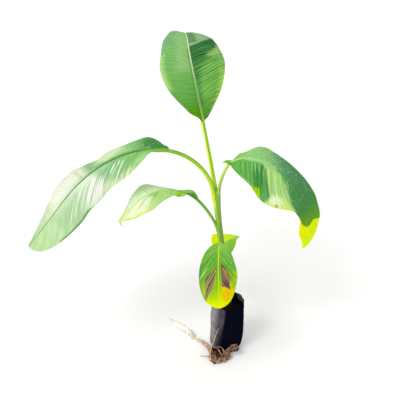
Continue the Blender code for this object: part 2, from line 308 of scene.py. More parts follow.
class Finish:
    """Small builder for a node material round one Principled shader."""

    def __init__(self, name, roughness, specular):
        self.material = bpy.data.materials.new(name)
        self.material.use_nodes = True
        self.tree = self.material.node_tree
        self.shader = self.tree.nodes["Principled BSDF"]
        self.shader.inputs["Roughness"].default_value = roughness
        self.shader.inputs["Specular IOR Level"].default_value = specular

    def feed(self, socket, value):
        if isinstance(value, bpy.types.NodeSocket):
            self.tree.links.new(value, socket)
        else:
            socket.default_value = value

    def node(self, kind, inputs, output=0, **settings):
        """Adds a node, feeds its inputs and returns one of its output sockets."""
        made = self.tree.nodes.new("ShaderNode" + kind)
        for key, value in settings.items():
            setattr(made, key, value)
        for key, value in inputs.items():
            self.feed(made.inputs[key], value)
        return made.outputs[output]

    def attribute(self, name, output):
        return self.node("Attribute", {}, output, attribute_name=name)

    def place(self):
        return self.node("TexCoord", {}, "Object")

    def noise(self, vector, scale, detail, roughness=0.55):
        inputs = {"Vector": vector, "Scale": scale, "Detail": detail, "Roughness": roughness}
        return self.node("TexNoise", inputs)

    def drawn_noise(self, vector, scales, detail):
        """Noise with its own scale along each axis."""
        drawn = self.node("VectorMath", {0: vector, 1: scales}, operation="MULTIPLY")
        return self.noise(drawn, 1.0, detail)

    def levels(self, value, low, high, new_low, new_high):
        inputs = {0: value, 1: low, 2: high, 3: new_low, 4: new_high}
        return self.node("MapRange", inputs)

    def swing(self, noise, low, high):
        """Noise spread between two values."""
        return self.levels(noise, 0.3, 0.7, low, high)

    def product(self, first, *others):
        for other in others:
            first = self.node("Math", {0: first, 1: other}, operation="MULTIPLY")
        return first

    def mix(self, share, first, second):
        inputs = {0: share, 6: first, 7: second}
        return self.node("Mix", inputs, 2, data_type="RGBA")

    def vary_tint(self, value, hue=0.5):
        """The mesh's tint with its brightness, and where asked its hue, driven by a pattern."""
        inputs = {"Color": self.attribute("tint", "Color"), "Value": value, "Hue": hue}
        return self.node("HueSaturation", inputs)

    def colour(self, value):
        self.feed(self.shader.inputs["Base Color"], value)

    def roughness(self, value):
        self.feed(self.shader.inputs["Roughness"], value)

    def bump(self, height, distance, under=None):
        inputs = {"Height": height, "Distance": distance, "Strength": 1.0}
        if under is not None:
            inputs["Normal"] = under
        normal = self.node("Bump", inputs)
        self.feed(self.shader.inputs["Normal"], normal)
        return normal


def leaf_finish(name, roughness):
    """Waxy blade: fine parallel veins, cloudy green and a few pale dusty specks."""
    finish = Finish(name, roughness, 0.01)
    grain = finish.attribute("grain", "Vector")
    place = finish.place()
    streaks = finish.drawn_noise(grain, (2.2, 0.35, 1.0), 2.0)
    blotches = finish.noise(place, 45.0, 4.0)
    cells = finish.noise(place, 900.0, 2.0)
    shade = finish.product(finish.swing(streaks, 0.95, 1.05), finish.swing(blotches, 0.96, 1.04),
                           finish.swing(cells, 0.97, 1.03))
    green = finish.vary_tint(shade, finish.swing(blotches, 0.498, 0.502))
    dots = finish.node("TexVoronoi", {"Vector": place, "Scale": 190.0}, "Distance")
    picks = finish.noise(place, 60.0, 2.0)
    dot = finish.product(
        finish.levels(dots, 0.14, 0.30, 1.0, 0.0), finish.levels(picks, 0.45, 0.52, 0.0, 1.0),
        finish.attribute("speck", "Fac"))
    finish.colour(finish.mix(dot, green, (0.76, 0.88, 0.74, 1.0)))
    finish.roughness(finish.swing(blotches, roughness - 0.05, roughness + 0.07))
    across = finish.node("SeparateXYZ", {"Vector": grain}, "X")
    lines = finish.node("Math", {0: finish.product(across, 2 * pi * 5)}, operation="SINE")
    finish.bump(cells, 0.00005, finish.bump(lines, 0.00003))
    return finish.material


def stalk_finish(name, roughness):
    """Smooth green stalk with fine fibres along it."""
    finish = Finish(name, roughness, 0.08)
    fibres = finish.drawn_noise(finish.attribute("grain", "Vector"), (1800.0, 22.0, 1.0), 3.0)
    blotches = finish.noise(finish.place(), 70.0, 3.0)
    shade = finish.product(finish.swing(fibres, 0.95, 1.05), finish.swing(blotches, 0.92, 1.08))
    finish.colour(finish.vary_tint(shade, finish.swing(blotches, 0.492, 0.508)))
    finish.roughness(finish.swing(fibres, roughness - 0.06, roughness + 0.08))
    finish.bump(fibres, 0.00018)
    return finish.material


def bag_finish():
    """Thin black film, grey where the specks say so: dry soil, and painted light on its lit facet and rim.
    """
    finish = Finish("bag_film", 0.4, 0.0)
    place = finish.place()
    cloudy = finish.noise(place, 55.0, 5.0, 0.65)
    grit = finish.noise(place, 900.0, 3.0)
    scuffs = finish.drawn_noise(place, (700.0, 700.0, 45.0), 3.0)
    dust_and_light = finish.product(
        finish.attribute("speck", "Fac"), finish.levels(cloudy, 0.32, 0.68, 0.62, 1.22),
        finish.swing(grit, 0.75, 1.2))
    finish.colour(finish.mix(dust_and_light, finish.attribute("tint", "Color"), (0.36, 0.315, 0.35, 1.0)))
    finish.roughness(finish.levels(dust_and_light, 0.0, 0.8, 0.50, 0.90))
    finish.bump(grit, 0.00004, finish.bump(scuffs, 0.00012))
    return finish.material


def earth_finish(name, roughness, scale, relief):
    """Rough earthy or woody surface that keeps its own tint."""
    finish = Finish(name, roughness, 0.25)
    patches = finish.noise(finish.place(), scale, 5.0, 0.7)
    fibres = finish.drawn_noise(finish.attribute("grain", "Vector"), (900.0, 60.0, 1.0), 3.0)
    shade = finish.product(finish.swing(patches, 0.5, 1.45), finish.swing(fibres, 0.8, 1.2))
    finish.colour(finish.vary_tint(shade))
    finish.roughness(finish.swing(patches, roughness, 1.0))
    finish.bump(fibres, relief * 0.5, finish.bump(patches, relief))
    return finish.material


# ---------------------------------------------------------------- the leaves' table

@dataclass
class Patch:
    """Part of a half blade that has its own colour, inside the corners (along, across)."""
    colour: tuple
    corners: tuple
    soft: float                 # metres over which its edge fades
    strength: float = 1.0
    streaky: float = 0.0        # how far the veins break it up
    ragged: float = 0.0         # metres by which its edge wanders


@dataclass
class Streaks:
    """Thin lines of one colour that run out beside the veins."""
    colour: tuple
    width: float                # per cent of the blade's length
    strength: float
    lines: tuple                # along and across where each starts, then where it ends


@dataclass
class Fold:
    """Ridge, or hollow if its height is negative, that crosses a half blade."""
    along: float
    width: float
    height: float               # metres
    across: tuple               # where it starts and where it is full
    lean: float = 0.0


@dataclass
class Flap:
    """Loose strip of blade, through points in metres, that faces one way."""
    route: tuple
    half_widths: tuple
    facing: tuple
    tints: tuple


def strip(along, across, lean=0.0):
    """Corners of a band that crosses a half blade and leans to the tip on its way out."""
    return (
        (along[0] + lean * across[0], across[0]), (along[1] + lean * across[0], across[0]),
        (along[1] + lean * across[1], across[1]), (along[0] + lean * across[1], across[1]))


@dataclass
class Half:
    """One half of a blade: the solids' sizes and angles, then its looks, from base to tip."""
    width: float
    shape: tuple                # how fast it opens at the base and closes at the tip
    lift: tuple                 # its angle above level, in degrees
    slant: tuple                # of its veins towards the tip
    relief: float               # of its veins
    wave: float                 # height of its margin's waves, in metres
    tints: tuple
    contrast: tuple             # how strongly the veins' pleats get painted shade and light
    specks: tuple = (0, 0)      # how far pale dust shows
    first_patch: int = 0        # where the seeds of its patches start
    first_streak: int = 0       # and those of its streaks
    margins: tuple = ()         # along, spread and metres out
    folds: tuple = ()
    patches: tuple = ()
    streaks: tuple = ()


@dataclass
class Leaf:
    """One leaf: the solids' sizes and angles, then its looks."""
    name: str
    foot: np.ndarray
    petiole_length: float
    petiole_radius: tuple
    petiole_pitch: tuple
    petiole_heading: tuple
    blade_length: float
    blade_pitch: tuple
    blade_heading: tuple
    curl: float                 # degrees that each half curls down towards its margin
    bearing: float              # side of the stem that its sheath is on, in degrees
    peel: float                 # height over which the petiole parts from the stem
    layer: float                # outside of its sheath, as a share of the stem's outline
    wrap: float                 # half angle of the sheath at the stem's foot, in degrees
    bow: tuple                  # moves the petiole's foot, middle and end
    sheath_tints: tuple         # from the soil up
    petiole_tints: tuple
    rib_tints: tuple
    left: Half
    right: Half
    regular: float = 0.5        # share of even lines in the veins' pattern
    rib: tuple = (1.15, 0.72, 0.62, 0.62, 0.62)     # of the solid midrib: how wide it shows
    lit: tuple = (0.4, 0.4)     # how far the light shows on the sheath and the petiole
    lit_tint: tuple = (206.4, 228.5, 97.2)
    flaps: tuple = ()


def stem_centre(height):
    return np.array([STEM_FOOT_X - (height - STEM_FOOT) * tan(STEM_LEAN), 0.0, height])


def on_fork(offset_x, offset_y):
    return stem_centre(FORK) + np.array([offset_x, offset_y, GAP])


def beside_stem(height, bearing, radius):
    half_width = between(STEM_OUTLINE, height, 1)
    half_depth = between(STEM_OUTLINE, height, 2)
    reach = GAP + radius
    turn = radians(bearing)
    offset = ((half_width + reach) * cos(turn), (half_depth + reach) * sin(turn), 0.0)
    return stem_centre(height) + np.array(offset)


def top_leaf():
    """Youngest leaf, upright, with deep pleats, and painted shade and a painted reflection on its right
    half.
    """
    # dark: painted shade; pale: a painted reflection.
    dark = (54, 112, 60)
    pale = (160, 198, 150)
    left = Half(
        0.0708, (0.61, 0.65), (55, 10, -2, 30), slant=(0.3, 0.28, 0.24, 0.24, 0.4, 1.1, 1.3, 1.2, 1.0),
        relief=0.7, wave=0.0004,
        tints=((80, 142, 30), (98, 164, 72), (112, 174, 88), (118, 178, 98), (132, 188, 122),
            (156, 198, 154)),
        contrast=(0.08, 0.18, 0.2, 0.18, 0.13),
        margins=((4.5, 3, -0.0052), (10, 3, 0.0022), (66, 12, -0.0022), (83, 5, -0.0022)),
        folds=(Fold(97, 10, 0.003, (20, 80)),),
        patches=(
            Patch((146, 192, 120), strip((42, 86), (4, 50)), 0.016, 0.8),
            Patch((120, 176, 116), strip((66, 86), (50, 115)), 0.014, 0.8),
            Patch((112, 174, 96), strip((50, 62), (50, 92)), 0.014, 0.7),
            Patch((196, 230, 142), strip((30, 60), (91, 115)), 0.012, 0.9),
            Patch((92, 158, 14), strip((2, 15), (30, 115), -0.02), 0.008),
            # Painted shadow of the midrib, on the left half beside it.
            Patch((64, 124, 40), strip((8, 60), (0, 4.5)), 0.003, 0.8),
        ))
    right = Half(
        0.0808, (0.71, 0.53), (20, 18, -2, 8), slant=(1.1, 1.0, 0.4, 0.42, 0.52, 0.6, 0.7, 0.7),
        relief=1.5, wave=0.0005,
        tints=((66, 132, 50), (112, 174, 76), (108, 168, 78), (100, 160, 74), (92, 152, 76),
            (96, 155, 88)),
        contrast=(0.22, 0.62, 0.7, 0.58, 0.62), first_patch=6,
        margins=((1.2, 1.8, 0.0052), (6, 4, 0.0018), (70, 9, -0.0006), (50, 4, -0.0006),
            (60, 4.5, 0.0008), (81, 4, -0.0012), (87.5, 4.5, 0.005), (96.5, 3, -0.0034)),
        folds=(Fold(66, 1.2, -0.0008, (5, 30), lean=0.18),),
        patches=(
            Patch((154, 206, 84), strip((5, 40), (84, 115)), 0.012, 0.85),
            # Painted shade near the midrib, in this patch and the next.
            Patch((58, 118, 58), strip((5, 50), (0, 16), 0.08), 0.01, 0.75, streaky=0.4),
            Patch((56, 116, 54), ((34, 0), (42, 30), (52, 50), (58, 40), (58, 0)), 0.012, 0.8,
                streaky=0.45),
            Patch((160, 206, 120), ((54, 46), (60, 66), (70, 88), (67, 100), (58, 92), (52, 66)), 0.006,
                0.7, streaky=0.5),
            # Painted shade: the dark band below the painted reflection, in this patch and the next.
            Patch(dark,
                ((46, 0), (50, 17), (54.5, 40), (60.5, 65), (69, 86), (76, 95), (83, 100), (81.5, 86),
                    (73.7, 58), (66.4, 27), (62.2, 0)), 0.0036, 0.95, streaky=0.35, ragged=0.0016),
            Patch(dark,
                ((57, 0), (61, 30), (68, 62), (80, 95), (83.8, 95), (73.7, 58.5), (66.5, 27.5),
                    (62.4, 0)), 0.0012, 0.9),
            # Painted reflection towards the tip.
            Patch(pale, ((62.8, 0), (66.7, 27), (74, 58), (84.5, 93), (93, 100), (105, 50), (105, 0)),
                0.0013, 0.85, streaky=0.8, ragged=0.0006),
            Patch((70, 120, 76), strip((66, 92), (0, 26), 0.1), 0.007, 0.8, streaky=0.8),
            Patch((112, 172, 106), strip((82, 96), (62, 115)), 0.008, 0.6),
            Patch((142, 198, 112), strip((44, 60), (80, 115)), 0.009, 0.5, streaky=0.3),
            Patch((140, 192, 116), strip((60, 70), (88, 115), 0.02), 0.004, 0.8),
        ))
    return Leaf(
        "top", on_fork(0.0006, 0.0044), 0.164, (0.0045, 0.0038), (72, 78), (125, 130), 0.2735,
        (56, 22, -42), (111, 98, 98), 35, bearing=100, peel=0.02, layer=0.95, wrap=170, regular=0.7,
        bow=((-0.0022, 0, 0.008), (-0.0015, 0, 0), (-0.0044, 0, 0)),
        rib=(1.18, 1.1, 1.0, 0.84, 0.62, 0.5, 0.47, 0.46, 0.46, 0.46, 0.46), lit=(0.6, 0.95),
        lit_tint=(240, 252, 116),
        sheath_tints=((120, 150, 60), (90, 140, 48), (168, 212, 62)),
        petiole_tints=((180, 222, 44), (160, 208, 20), (158, 204, 34)),
        # The midrib's near white tints towards the tip carry the painted reflection across it.
        rib_tints=((160, 204, 50), (112, 172, 88), (124, 180, 108), (190, 214, 158), (236, 242, 212),
            (240, 244, 216), (236, 241, 212), (206, 222, 186)),
        left=left, right=right)


def left_leaf():
    """Long leaf that arches out to the left, with painted highlights where its halves face the light."""
    streak = (140, 194, 142)
    left = Half(
        0.06, (0.65, 0.42), (45, -46, -35, -45), slant=(0.5, 0.6, 0.9, 1.0, 0.9, 0.8, 0.8), relief=1.0,
        wave=0.0008,
        tints=((120, 184, 78), (142, 200, 112), (158, 208, 138), (186, 220, 172), (204, 228, 190),
            (200, 226, 182), (188, 220, 164), (184, 220, 150)),
        contrast=(0.1, 0.26, 0.32, 0.3, 0.18, 0.2, 0.16), specks=(0, 0, 0.2, 0.5, 0.7, 0.6, 0.6, 0.4),
        margins=((10.5, 4.5, -0.014), (19, 5, -0.0022), (42, 9, -0.0036), (60, 5, -0.003),
            (70, 11, 0.0028)),
        folds=(Fold(50, 1.2, -0.0012, (10, 60), lean=0.2),),
        patches=(
            Patch((188, 224, 148), strip((12, 20), (62, 110)), 0.006, 0.5),
            Patch((112, 176, 96), strip((14, 32), (0, 50), 0.16), 0.012, 0.7, streaky=0.5),
            Patch(streak, strip((30, 40), (6, 62), 0.14), 0.012, 0.7, streaky=0.5),
            # Painted highlights: this near white patch and the next.
            Patch((242, 243, 230),
                ((41, 42), (47, 10), (52, 34), (57, 66), (57.5, 86), (50, 92), (45, 74)), 0.01,
                streaky=0.2),
            Patch((236, 240, 224), strip((46, 60), (-10, 16), 0.1), 0.01, 0.7),
            Patch((220, 236, 192), strip((22, 44), (74, 115), 0.02), 0.006, 0.8),
            Patch((160, 200, 146), strip((59.5, 76), (20, 95), 0.04), 0.014, 0.75, streaky=0.6),
            Patch((84, 148, 66), ((59, 95), (61, 91), (85, 94), (86, 110), (52, 110)), 0.0018, 0.85),
        ),
        streaks=(
            Streaks((236, 246, 226), 0.5, 0.95,
                ((29.2, 16, 29.1, 42), (26.6, 14, 26.8, 56), (23.6, 22, 24.2, 74), (32, 30, 32.2, 75))),
            Streaks((238, 242, 228), 0.7, 0.85,
                ((39.2, 28, 39.6, 66), (34.5, 62, 35, 95), (41.2, 20, 40.6, 60))),
            Streaks((124, 180, 132), 0.65, 0.75,
                ((31, 14, 31.4, 66), (36.4, 12, 36.2, 46), (33.8, 14, 33.6, 42))),
            Streaks((102, 170, 92), 0.45, 0.75,
                ((27.8, 12, 26.2, 60), (22.4, 14, 23, 88), (19, 40, 20.4, 95), (25.2, 30, 25.2, 80),
                    (16.8, 62, 17.6, 100))),
            Streaks((122, 180, 116), 0.4, 0.95, ((37.9, 20, 38.6, 86),)),
            Streaks((156, 198, 146), 0.6, 0.7,
                ((44.2, 20, 43, 60), (47.4, 22, 47.4, 60), (42.5, 55, 42.8, 88))),
            Streaks((232, 240, 220), 0.6, 0.75,
                ((45.6, 20, 44.6, 72), (50, 24, 50.3, 66), (54, 30, 54.5, 70))),
        ))
    right = Half(
        0.076, (0.58, 0.54), (30, -10, 8, 0), slant=(0.3, 0.15, 0.12, 0.16, 0.2, 0.3), relief=0.6,
        wave=0.0005,
        tints=((74, 142, 64), (88, 156, 84), (154, 212, 134), (200, 234, 174), (140, 194, 126),
            (190, 216, 166), (214, 228, 192), (210, 226, 186), (190, 218, 164), (160, 204, 136)),
        contrast=(0.08, 0.1, 0.08, 0.12, 0.1), specks=(0.5, 0.7, 0.4, 0, 0, 0),
        margins=((3.4, 2.2, -0.005), (10.5, 3.6, 0.0084), (23.5, 3.5, -0.0036), (31.5, 3.5, 0.0026),
            (42, 3, -0.0052)),
        folds=(
            Fold(31, 4.5, 0.0035, (30, 100)),
            Fold(39.5, 3, -0.004, (30, 100)),
        ),
        patches=(
            Patch((70, 138, 68), strip((3, 13), (-10, 80)), 0.008, 0.85),
            Patch((110, 172, 100), strip((10, 42), (-10, 14)), 0.005, 0.7),
            # Painted highlights: this pale patch and the near white one after it.
            Patch((222, 232, 186),
                ((22.5, 62), (25, 86), (30, 110), (37, 110), (40, 47), (35.7, 23), (31, 26)), 0.007,
                streaky=0.3),
            Patch((236, 240, 222), strip((47, 74), (12, 95), 0.02), 0.014, streaky=0.3),
            Patch((150, 196, 138), strip((40.5, 44), (30, 115), 0.03), 0.006, 0.7),
            Patch((186, 212, 170), strip((50, 52), (10, 80), 0.03), 0.003, 0.7),
        ))
    return Leaf(
        "left", on_fork(-0.0052, -0.0032), 0.154, (0.0045, 0.0037), (83, 15), (171, 186), 0.4,
        (-17, -48, -49), (206, 200, 192), 19, bearing=190, peel=0.024, layer=1.08, wrap=120,
        bow=((-0.0002, 0, 0), (0.0004, 0, -0.0024), (0, 0, -0.0022)), lit=(0.9, 0.6),
        lit_tint=(216, 242, 60),
        sheath_tints=((150, 185, 80), (140, 190, 64), (190, 216, 60)),
        petiole_tints=((196, 220, 60), (150, 198, 52), (120, 180, 44)),
        rib_tints=((150, 204, 50), (72, 138, 60), (66, 132, 66), (74, 140, 74), (96, 156, 90),
            (110, 166, 100), (120, 172, 106)),
        left=left, right=right)


def right_leaf():
    """Leaf that bends down to the right, in painted shade beyond its ridge and yellow at its tip."""
    painted_light_mint = (168, 216, 128)
    yellow = (230, 252, 0)
    glow = (246, 255, 0)
    left = Half(
        0.0825, (1.08, 0.63), (15, 12, 0, 27), slant=(0.2, 0.4, 0.4), relief=0.7, wave=0.0005,
        # The tints darken beyond the ridge: painted shade.
        tints=((126, 188, 96), (150, 208, 126), (138, 200, 120), (92, 156, 98), (70, 143, 82),
            (70, 144, 70), (80, 150, 48), (100, 164, 36)),
        contrast=(0.08, 0.12, 0.1, 0.06), specks=(0, 0.5, 1, 1, 1, 0.9, 0.5, 0, 0, 0),
        margins=((1.8, 1.6, 0.005), (3.8, 2, 0.003), (6.2, 2.4, 0.0072), (12, 2.5, -0.003),
            (20, 3, 0.0016), (32.5, 3.5, -0.0022), (40, 8, -0.003), (59, 5.5, -0.0034), (68, 6, 0.0016),
            (80, 7, 0.0026), (94, 5, -0.003)),
        folds=(Fold(11.5, 2, -0.0022, (30, 90)),),
        patches=(
            Patch((160, 214, 128), strip((8, 36), (-10, 6)), 0.004, 0.5),
            Patch((104, 166, 40), strip((77, 92), (-10, 115)), 0.022, 0.85),
            Patch(yellow,
                ((82.8, -10), (83, 2), (84.6, 20), (84.3, 32), (83.4, 52), (83.6, 62), (86.2, 110),
                    (110, 110), (110, -10)), 0.0005),
        ))
    right = Half(
        0.078, (0.92, 1.32), (-36, -65, -2, -55),
        slant=(0, 0.1, 0.55, 1.1, 1.05, 1.1, 1.1, 1.0, 0.8, 0.6), relief=1.5, wave=0.0006,
        tints=((100, 172, 72), (98, 170, 80), (92, 162, 82), (86, 156, 82), (76, 146, 76),
            (74, 146, 66), (80, 150, 48), (90, 160, 34)),
        contrast=(0.2, 0.34, 0.2, 0.08, 0.05), specks=(0.2, 0.2, 0, 0.2, 0.6, 0.5, 0, 0, 0),
        first_patch=1,
        margins=((9, 8, 0.0048), (40, 10, 0.0042), (52, 6, 0.0032), (78, 8, 0.0068)),
        folds=(
            Fold(15, 1, -0.0012, (10, 50), lean=0.04),
            Fold(19, 1, 0.0012, (10, 50), lean=0.08),
            Fold(22, 1, -0.0016, (10, 50), lean=0.1),
            Fold(27, 1, 0.001, (10, 50), lean=0.13),
            Fold(39, 1.2, -0.0014, (10, 50), lean=0.23),
        ),
        patches=(
            Patch((66, 138, 60), strip((17, 26.2), (12, 115), 0.06), 0.01, 0.75, streaky=0.3),
            Patch((140, 196, 96), strip((10, 24), (90, 115)), 0.003, 0.7),
            # Painted light on the near half: the mint patch and the two pale patches after it.
            Patch(painted_light_mint,
                ((24, 6), (26.2, 20), (29.6, 38), (35, 60), (39.2, 78), (38.3, 90), (35.2, 110),
                    (63, 110), (59.6, 88), (55.8, 70), (52.2, 47), (47, 25), (39.6, 6)), 0.0034,
                streaky=0.35, ragged=0.0008),
            Patch((212, 240, 128), ((40, 78), (47, 58), (53, 68), (60, 90), (60, 110), (36, 110)),
                0.008, 0.8),
            Patch((236, 240, 204), ((39, 84), (40, 70), (44, 64), (49, 80), (48, 95), (41, 95)), 0.007,
                0.9),
            Patch((206, 242, 60), strip((40, 62), (95, 115)), 0.002, 0.85),
            Patch((172, 220, 142), strip((12, 34), (-10, 8)), 0.005, 0.75),
            Patch((154, 204, 0),
                ((17.6, 110), (18.4, 97), (24, 86), (28.6, 78), (31.2, 88), (33, 100), (33.5, 110)),
                0.0008),
            Patch((150, 120, 84), strip((44.5, 46.2), (90, 97)), 0.0006, 0.8, ragged=0.0006),
            Patch((104, 168, 40), strip((72, 90), (-10, 115)), 0.022, 0.85),
            Patch(glow,
                ((82.8, -10), (82, 12), (80, 32), (75.5, 60), (70, 84), (65.5, 100), (63, 110),
                    (110, 110), (110, -10)), 0.0005),
        ),
        streaks=(
            Streaks((150, 208, 116), 0.26, 0.55,
                ((13.7, 10, 13.5, 80), (16.4, 10, 16.1, 42), (10.5, 24, 10.6, 60))),
            Streaks((178, 224, 148), 0.3, 0.85, ((18.1, 12, 18.1, 42), (20.7, 9, 20.5, 36))),
            Streaks((140, 200, 110), 0.6, 0.6, ((23, 20, 23.3, 40),)),
            Streaks((216, 240, 172), 0.4, 0.8, ((26.6, 10, 26.9, 60), (31.2, 12, 29.7, 84))),
            Streaks((202, 234, 156), 0.36, 0.6, ((36.1, 10, 33.4, 66), (42.6, 8, 42.2, 30))),
            Streaks((48, 122, 52), 0.52, 0.85,
                ((19, 26, 19.4, 76), (17.2, 20, 16.9, 72), (22, 20, 22.3, 68), (24.8, 16, 25.7, 66))),
            Streaks((84, 156, 74), 0.5, 0.75,
                ((38.1, 3, 37.9, 26), (15, 12, 14.8, 80), (11.8, 14, 12, 80), (9.2, 14, 9.2, 70))),
            Streaks((150, 206, 112), 0.5, 0.6, ((33.6, 20, 32.2, 66), (28.8, 14, 28.3, 60))),
        ))
    return Leaf(
        "right", on_fork(0.0062, -0.0022), 0.089, (0.0034, 0.0032), (93, 52), (-7, -40), 0.356,
        (-27, -55, -80, -101), (14, -15, -18), -6, bearing=-8, peel=0.022, layer=1.03, wrap=115,
        bow=((0.0004, 0, 0), (0.0024, 0, 0), (0.001, 0, 0)),
        rib=(1.15, 0.4, 0.3, 0.24, 0.18, 0.1, 0.05, 0.05, 0.05), lit=(0.3, 0.45),
        lit_tint=(226, 240, 150),
        sheath_tints=((110, 150, 60), (104, 154, 56), (140, 184, 84)),
        petiole_tints=((146, 188, 78), (172, 212, 80), (196, 226, 84)),
        rib_tints=((140, 198, 80), (166, 218, 128), (168, 222, 138), (160, 214, 126), (110, 172, 94),
            (60, 132, 62), (60, 132, 52), (66, 142, 36), (238, 254, 0), (240, 254, 0), (240, 254, 0)),
        flaps=(
            Flap(
                ((0.0085, -0.0215, 0.5405), (0.003, -0.02, 0.5395), (-0.002, -0.018, 0.54),
                    (-0.007, -0.0165, 0.538), (-0.0105, -0.016, 0.535)),
                (0.0042, 0.0046, 0.0034, 0.0018, 0.0005), (0.2, -0.7, 0.6),
                ((106, 172, 66), (120, 184, 44), (140, 196, 70))),
        ),
        left=left, right=right)


def left_low_leaf():
    """Small thin leaf on the left, folded at its base, with a drying tip."""
    lime = (200, 228, 110)
    left = Half(
        0.03, (1.02, 0.84), (-14, -31, -25), slant=(0.8, 1.2, 1.2), relief=0.7, wave=0.0006,
        tints=((140, 196, 70), (168, 216, 124), (172, 216, 132), (190, 222, 148), (214, 232, 172),
            (224, 238, 170), (232, 242, 150)),
        contrast=(0.1, 0.12, 0.1),
        margins=((55, 16, 0.0064), (78, 10, 0.0028)),
        folds=(
            Fold(62, 14, -0.0022, (20, 40)),
            Fold(62, 14, 0.0026, (40, 60)),
        ),
        patches=(
            Patch((170, 216, 50), strip((0, 15), (60, 115)), 0.004),
            Patch((124, 186, 70), strip((0, 13), (-10, 45)), 0.004, 0.8),
            Patch(lime, strip((45, 110), (88, 115)), 0.005),
            Patch((146, 202, 104), strip((34, 50), (2, 42), 0.15), 0.005, streaky=0.3),
            Patch((243, 245, 216), ((46, 30), (52, 6), (70, 8), (90, 40), (80, 75), (62, 80)), 0.006,
                0.85),
        ),
        streaks=(
            Streaks((134, 190, 96), 1.6, 0.85, ((48.4, 10, 51.2, 30), (50.8, 26, 57, 46))),
            Streaks((168, 210, 124), 1.2, 0.7, ((56, 40, 68, 46),)),
            Streaks((196, 228, 140), 1, 0.7, ((40, 30, 43, 74), (30, 40, 33, 85), (20, 40, 22, 80))),
            Streaks((204, 224, 150), 1, 0.6, ((45.5, 40, 49, 70), (36, 66, 40, 88))),
        ))
    right = Half(
        0.054, (1.17, 0.8), (-25, 5, 6), slant=(0.3, 0.3, 0.4), relief=0.5, wave=0.0006,
        tints=((150, 202, 110), (190, 228, 156), (204, 236, 178), (220, 244, 200), (230, 246, 208),
            (232, 246, 206), (232, 246, 184)),
        contrast=(0.06, 0.08, 0.08),
        margins=((27, 10, -0.0024), (40, 7, 0.002), (72, 17, -0.0036)),
        patches=(
            Patch((206, 228, 158), ((47.8, 2), (49.2, 24), (53, 67), (54, 67), (51, 24), (50, 2)),
                0.0012, 0.8),
        ))
    return Leaf(
        "left_low", beside_stem(0.351, 203, 0.0034), 0.126, (0.0034, 0.003), (84, 33), (172, 195),
        0.188, (2, -41, -52), (202, 193, 177), 22, bearing=203, peel=0.016, layer=1.05, wrap=110,
        bow=((0.0046, 0, 0.002), (-0.0044, 0, 0.003), (-0.0016, 0, 0.0016)), lit=(0.3, 0.3),
        lit_tint=(190, 226, 110),
        sheath_tints=((170, 180, 90), (126, 176, 66), (124, 178, 66)),
        petiole_tints=((130, 184, 70), (116, 176, 52), (90, 158, 40)),
        rib_tints=((110, 170, 60), (190, 218, 140), (206, 226, 150), (196, 220, 150), (210, 230, 140)),
        flaps=(
            Flap(
                ((-0.0705, -0.009, 0.448), (-0.0745, -0.013, 0.459), (-0.085, -0.015, 0.463),
                    (-0.1, -0.0165, 0.464), (-0.115, -0.018, 0.4665)),
                (0.0012, 0.0034, 0.0042, 0.0032, 0.0012), (0, -0.9, 0.45),
                ((100, 164, 50), (130, 186, 84), (140, 194, 96), (160, 210, 120))),
            Flap(
                ((-0.063, -0.0095, 0.4345), (-0.069, -0.011, 0.445), (-0.0755, -0.0122, 0.454),
                    (-0.086, -0.0132, 0.4585), (-0.1, -0.015, 0.4588)),
                (0.0012, 0.0042, 0.005, 0.0034, 0.001), (0, -0.9, 0.45),
                ((104, 168, 44), (84, 150, 36), (92, 158, 44), (110, 172, 56))),
            Flap(
                ((-0.09, -0.019, 0.456), (-0.098, -0.021, 0.4575), (-0.108, -0.023, 0.458),
                    (-0.118, -0.024, 0.46)), (0.0006, 0.0034, 0.0036, 0.0006), (0.1, -0.9, 0.4),
                ((150, 206, 50), (172, 218, 60), (160, 212, 60))),
            Flap(
                ((-0.2366, -0.0525, 0.41), (-0.2371, -0.054, 0.4055), (-0.2346, -0.0555, 0.401),
                    (-0.2304, -0.0565, 0.3955)), (0.0022, 0.0016, 0.0013, 0.0009), (0, -0.9, 0.4),
                ((206, 230, 110), (198, 226, 90), (206, 232, 110))),
        ),
        left=left, right=right)


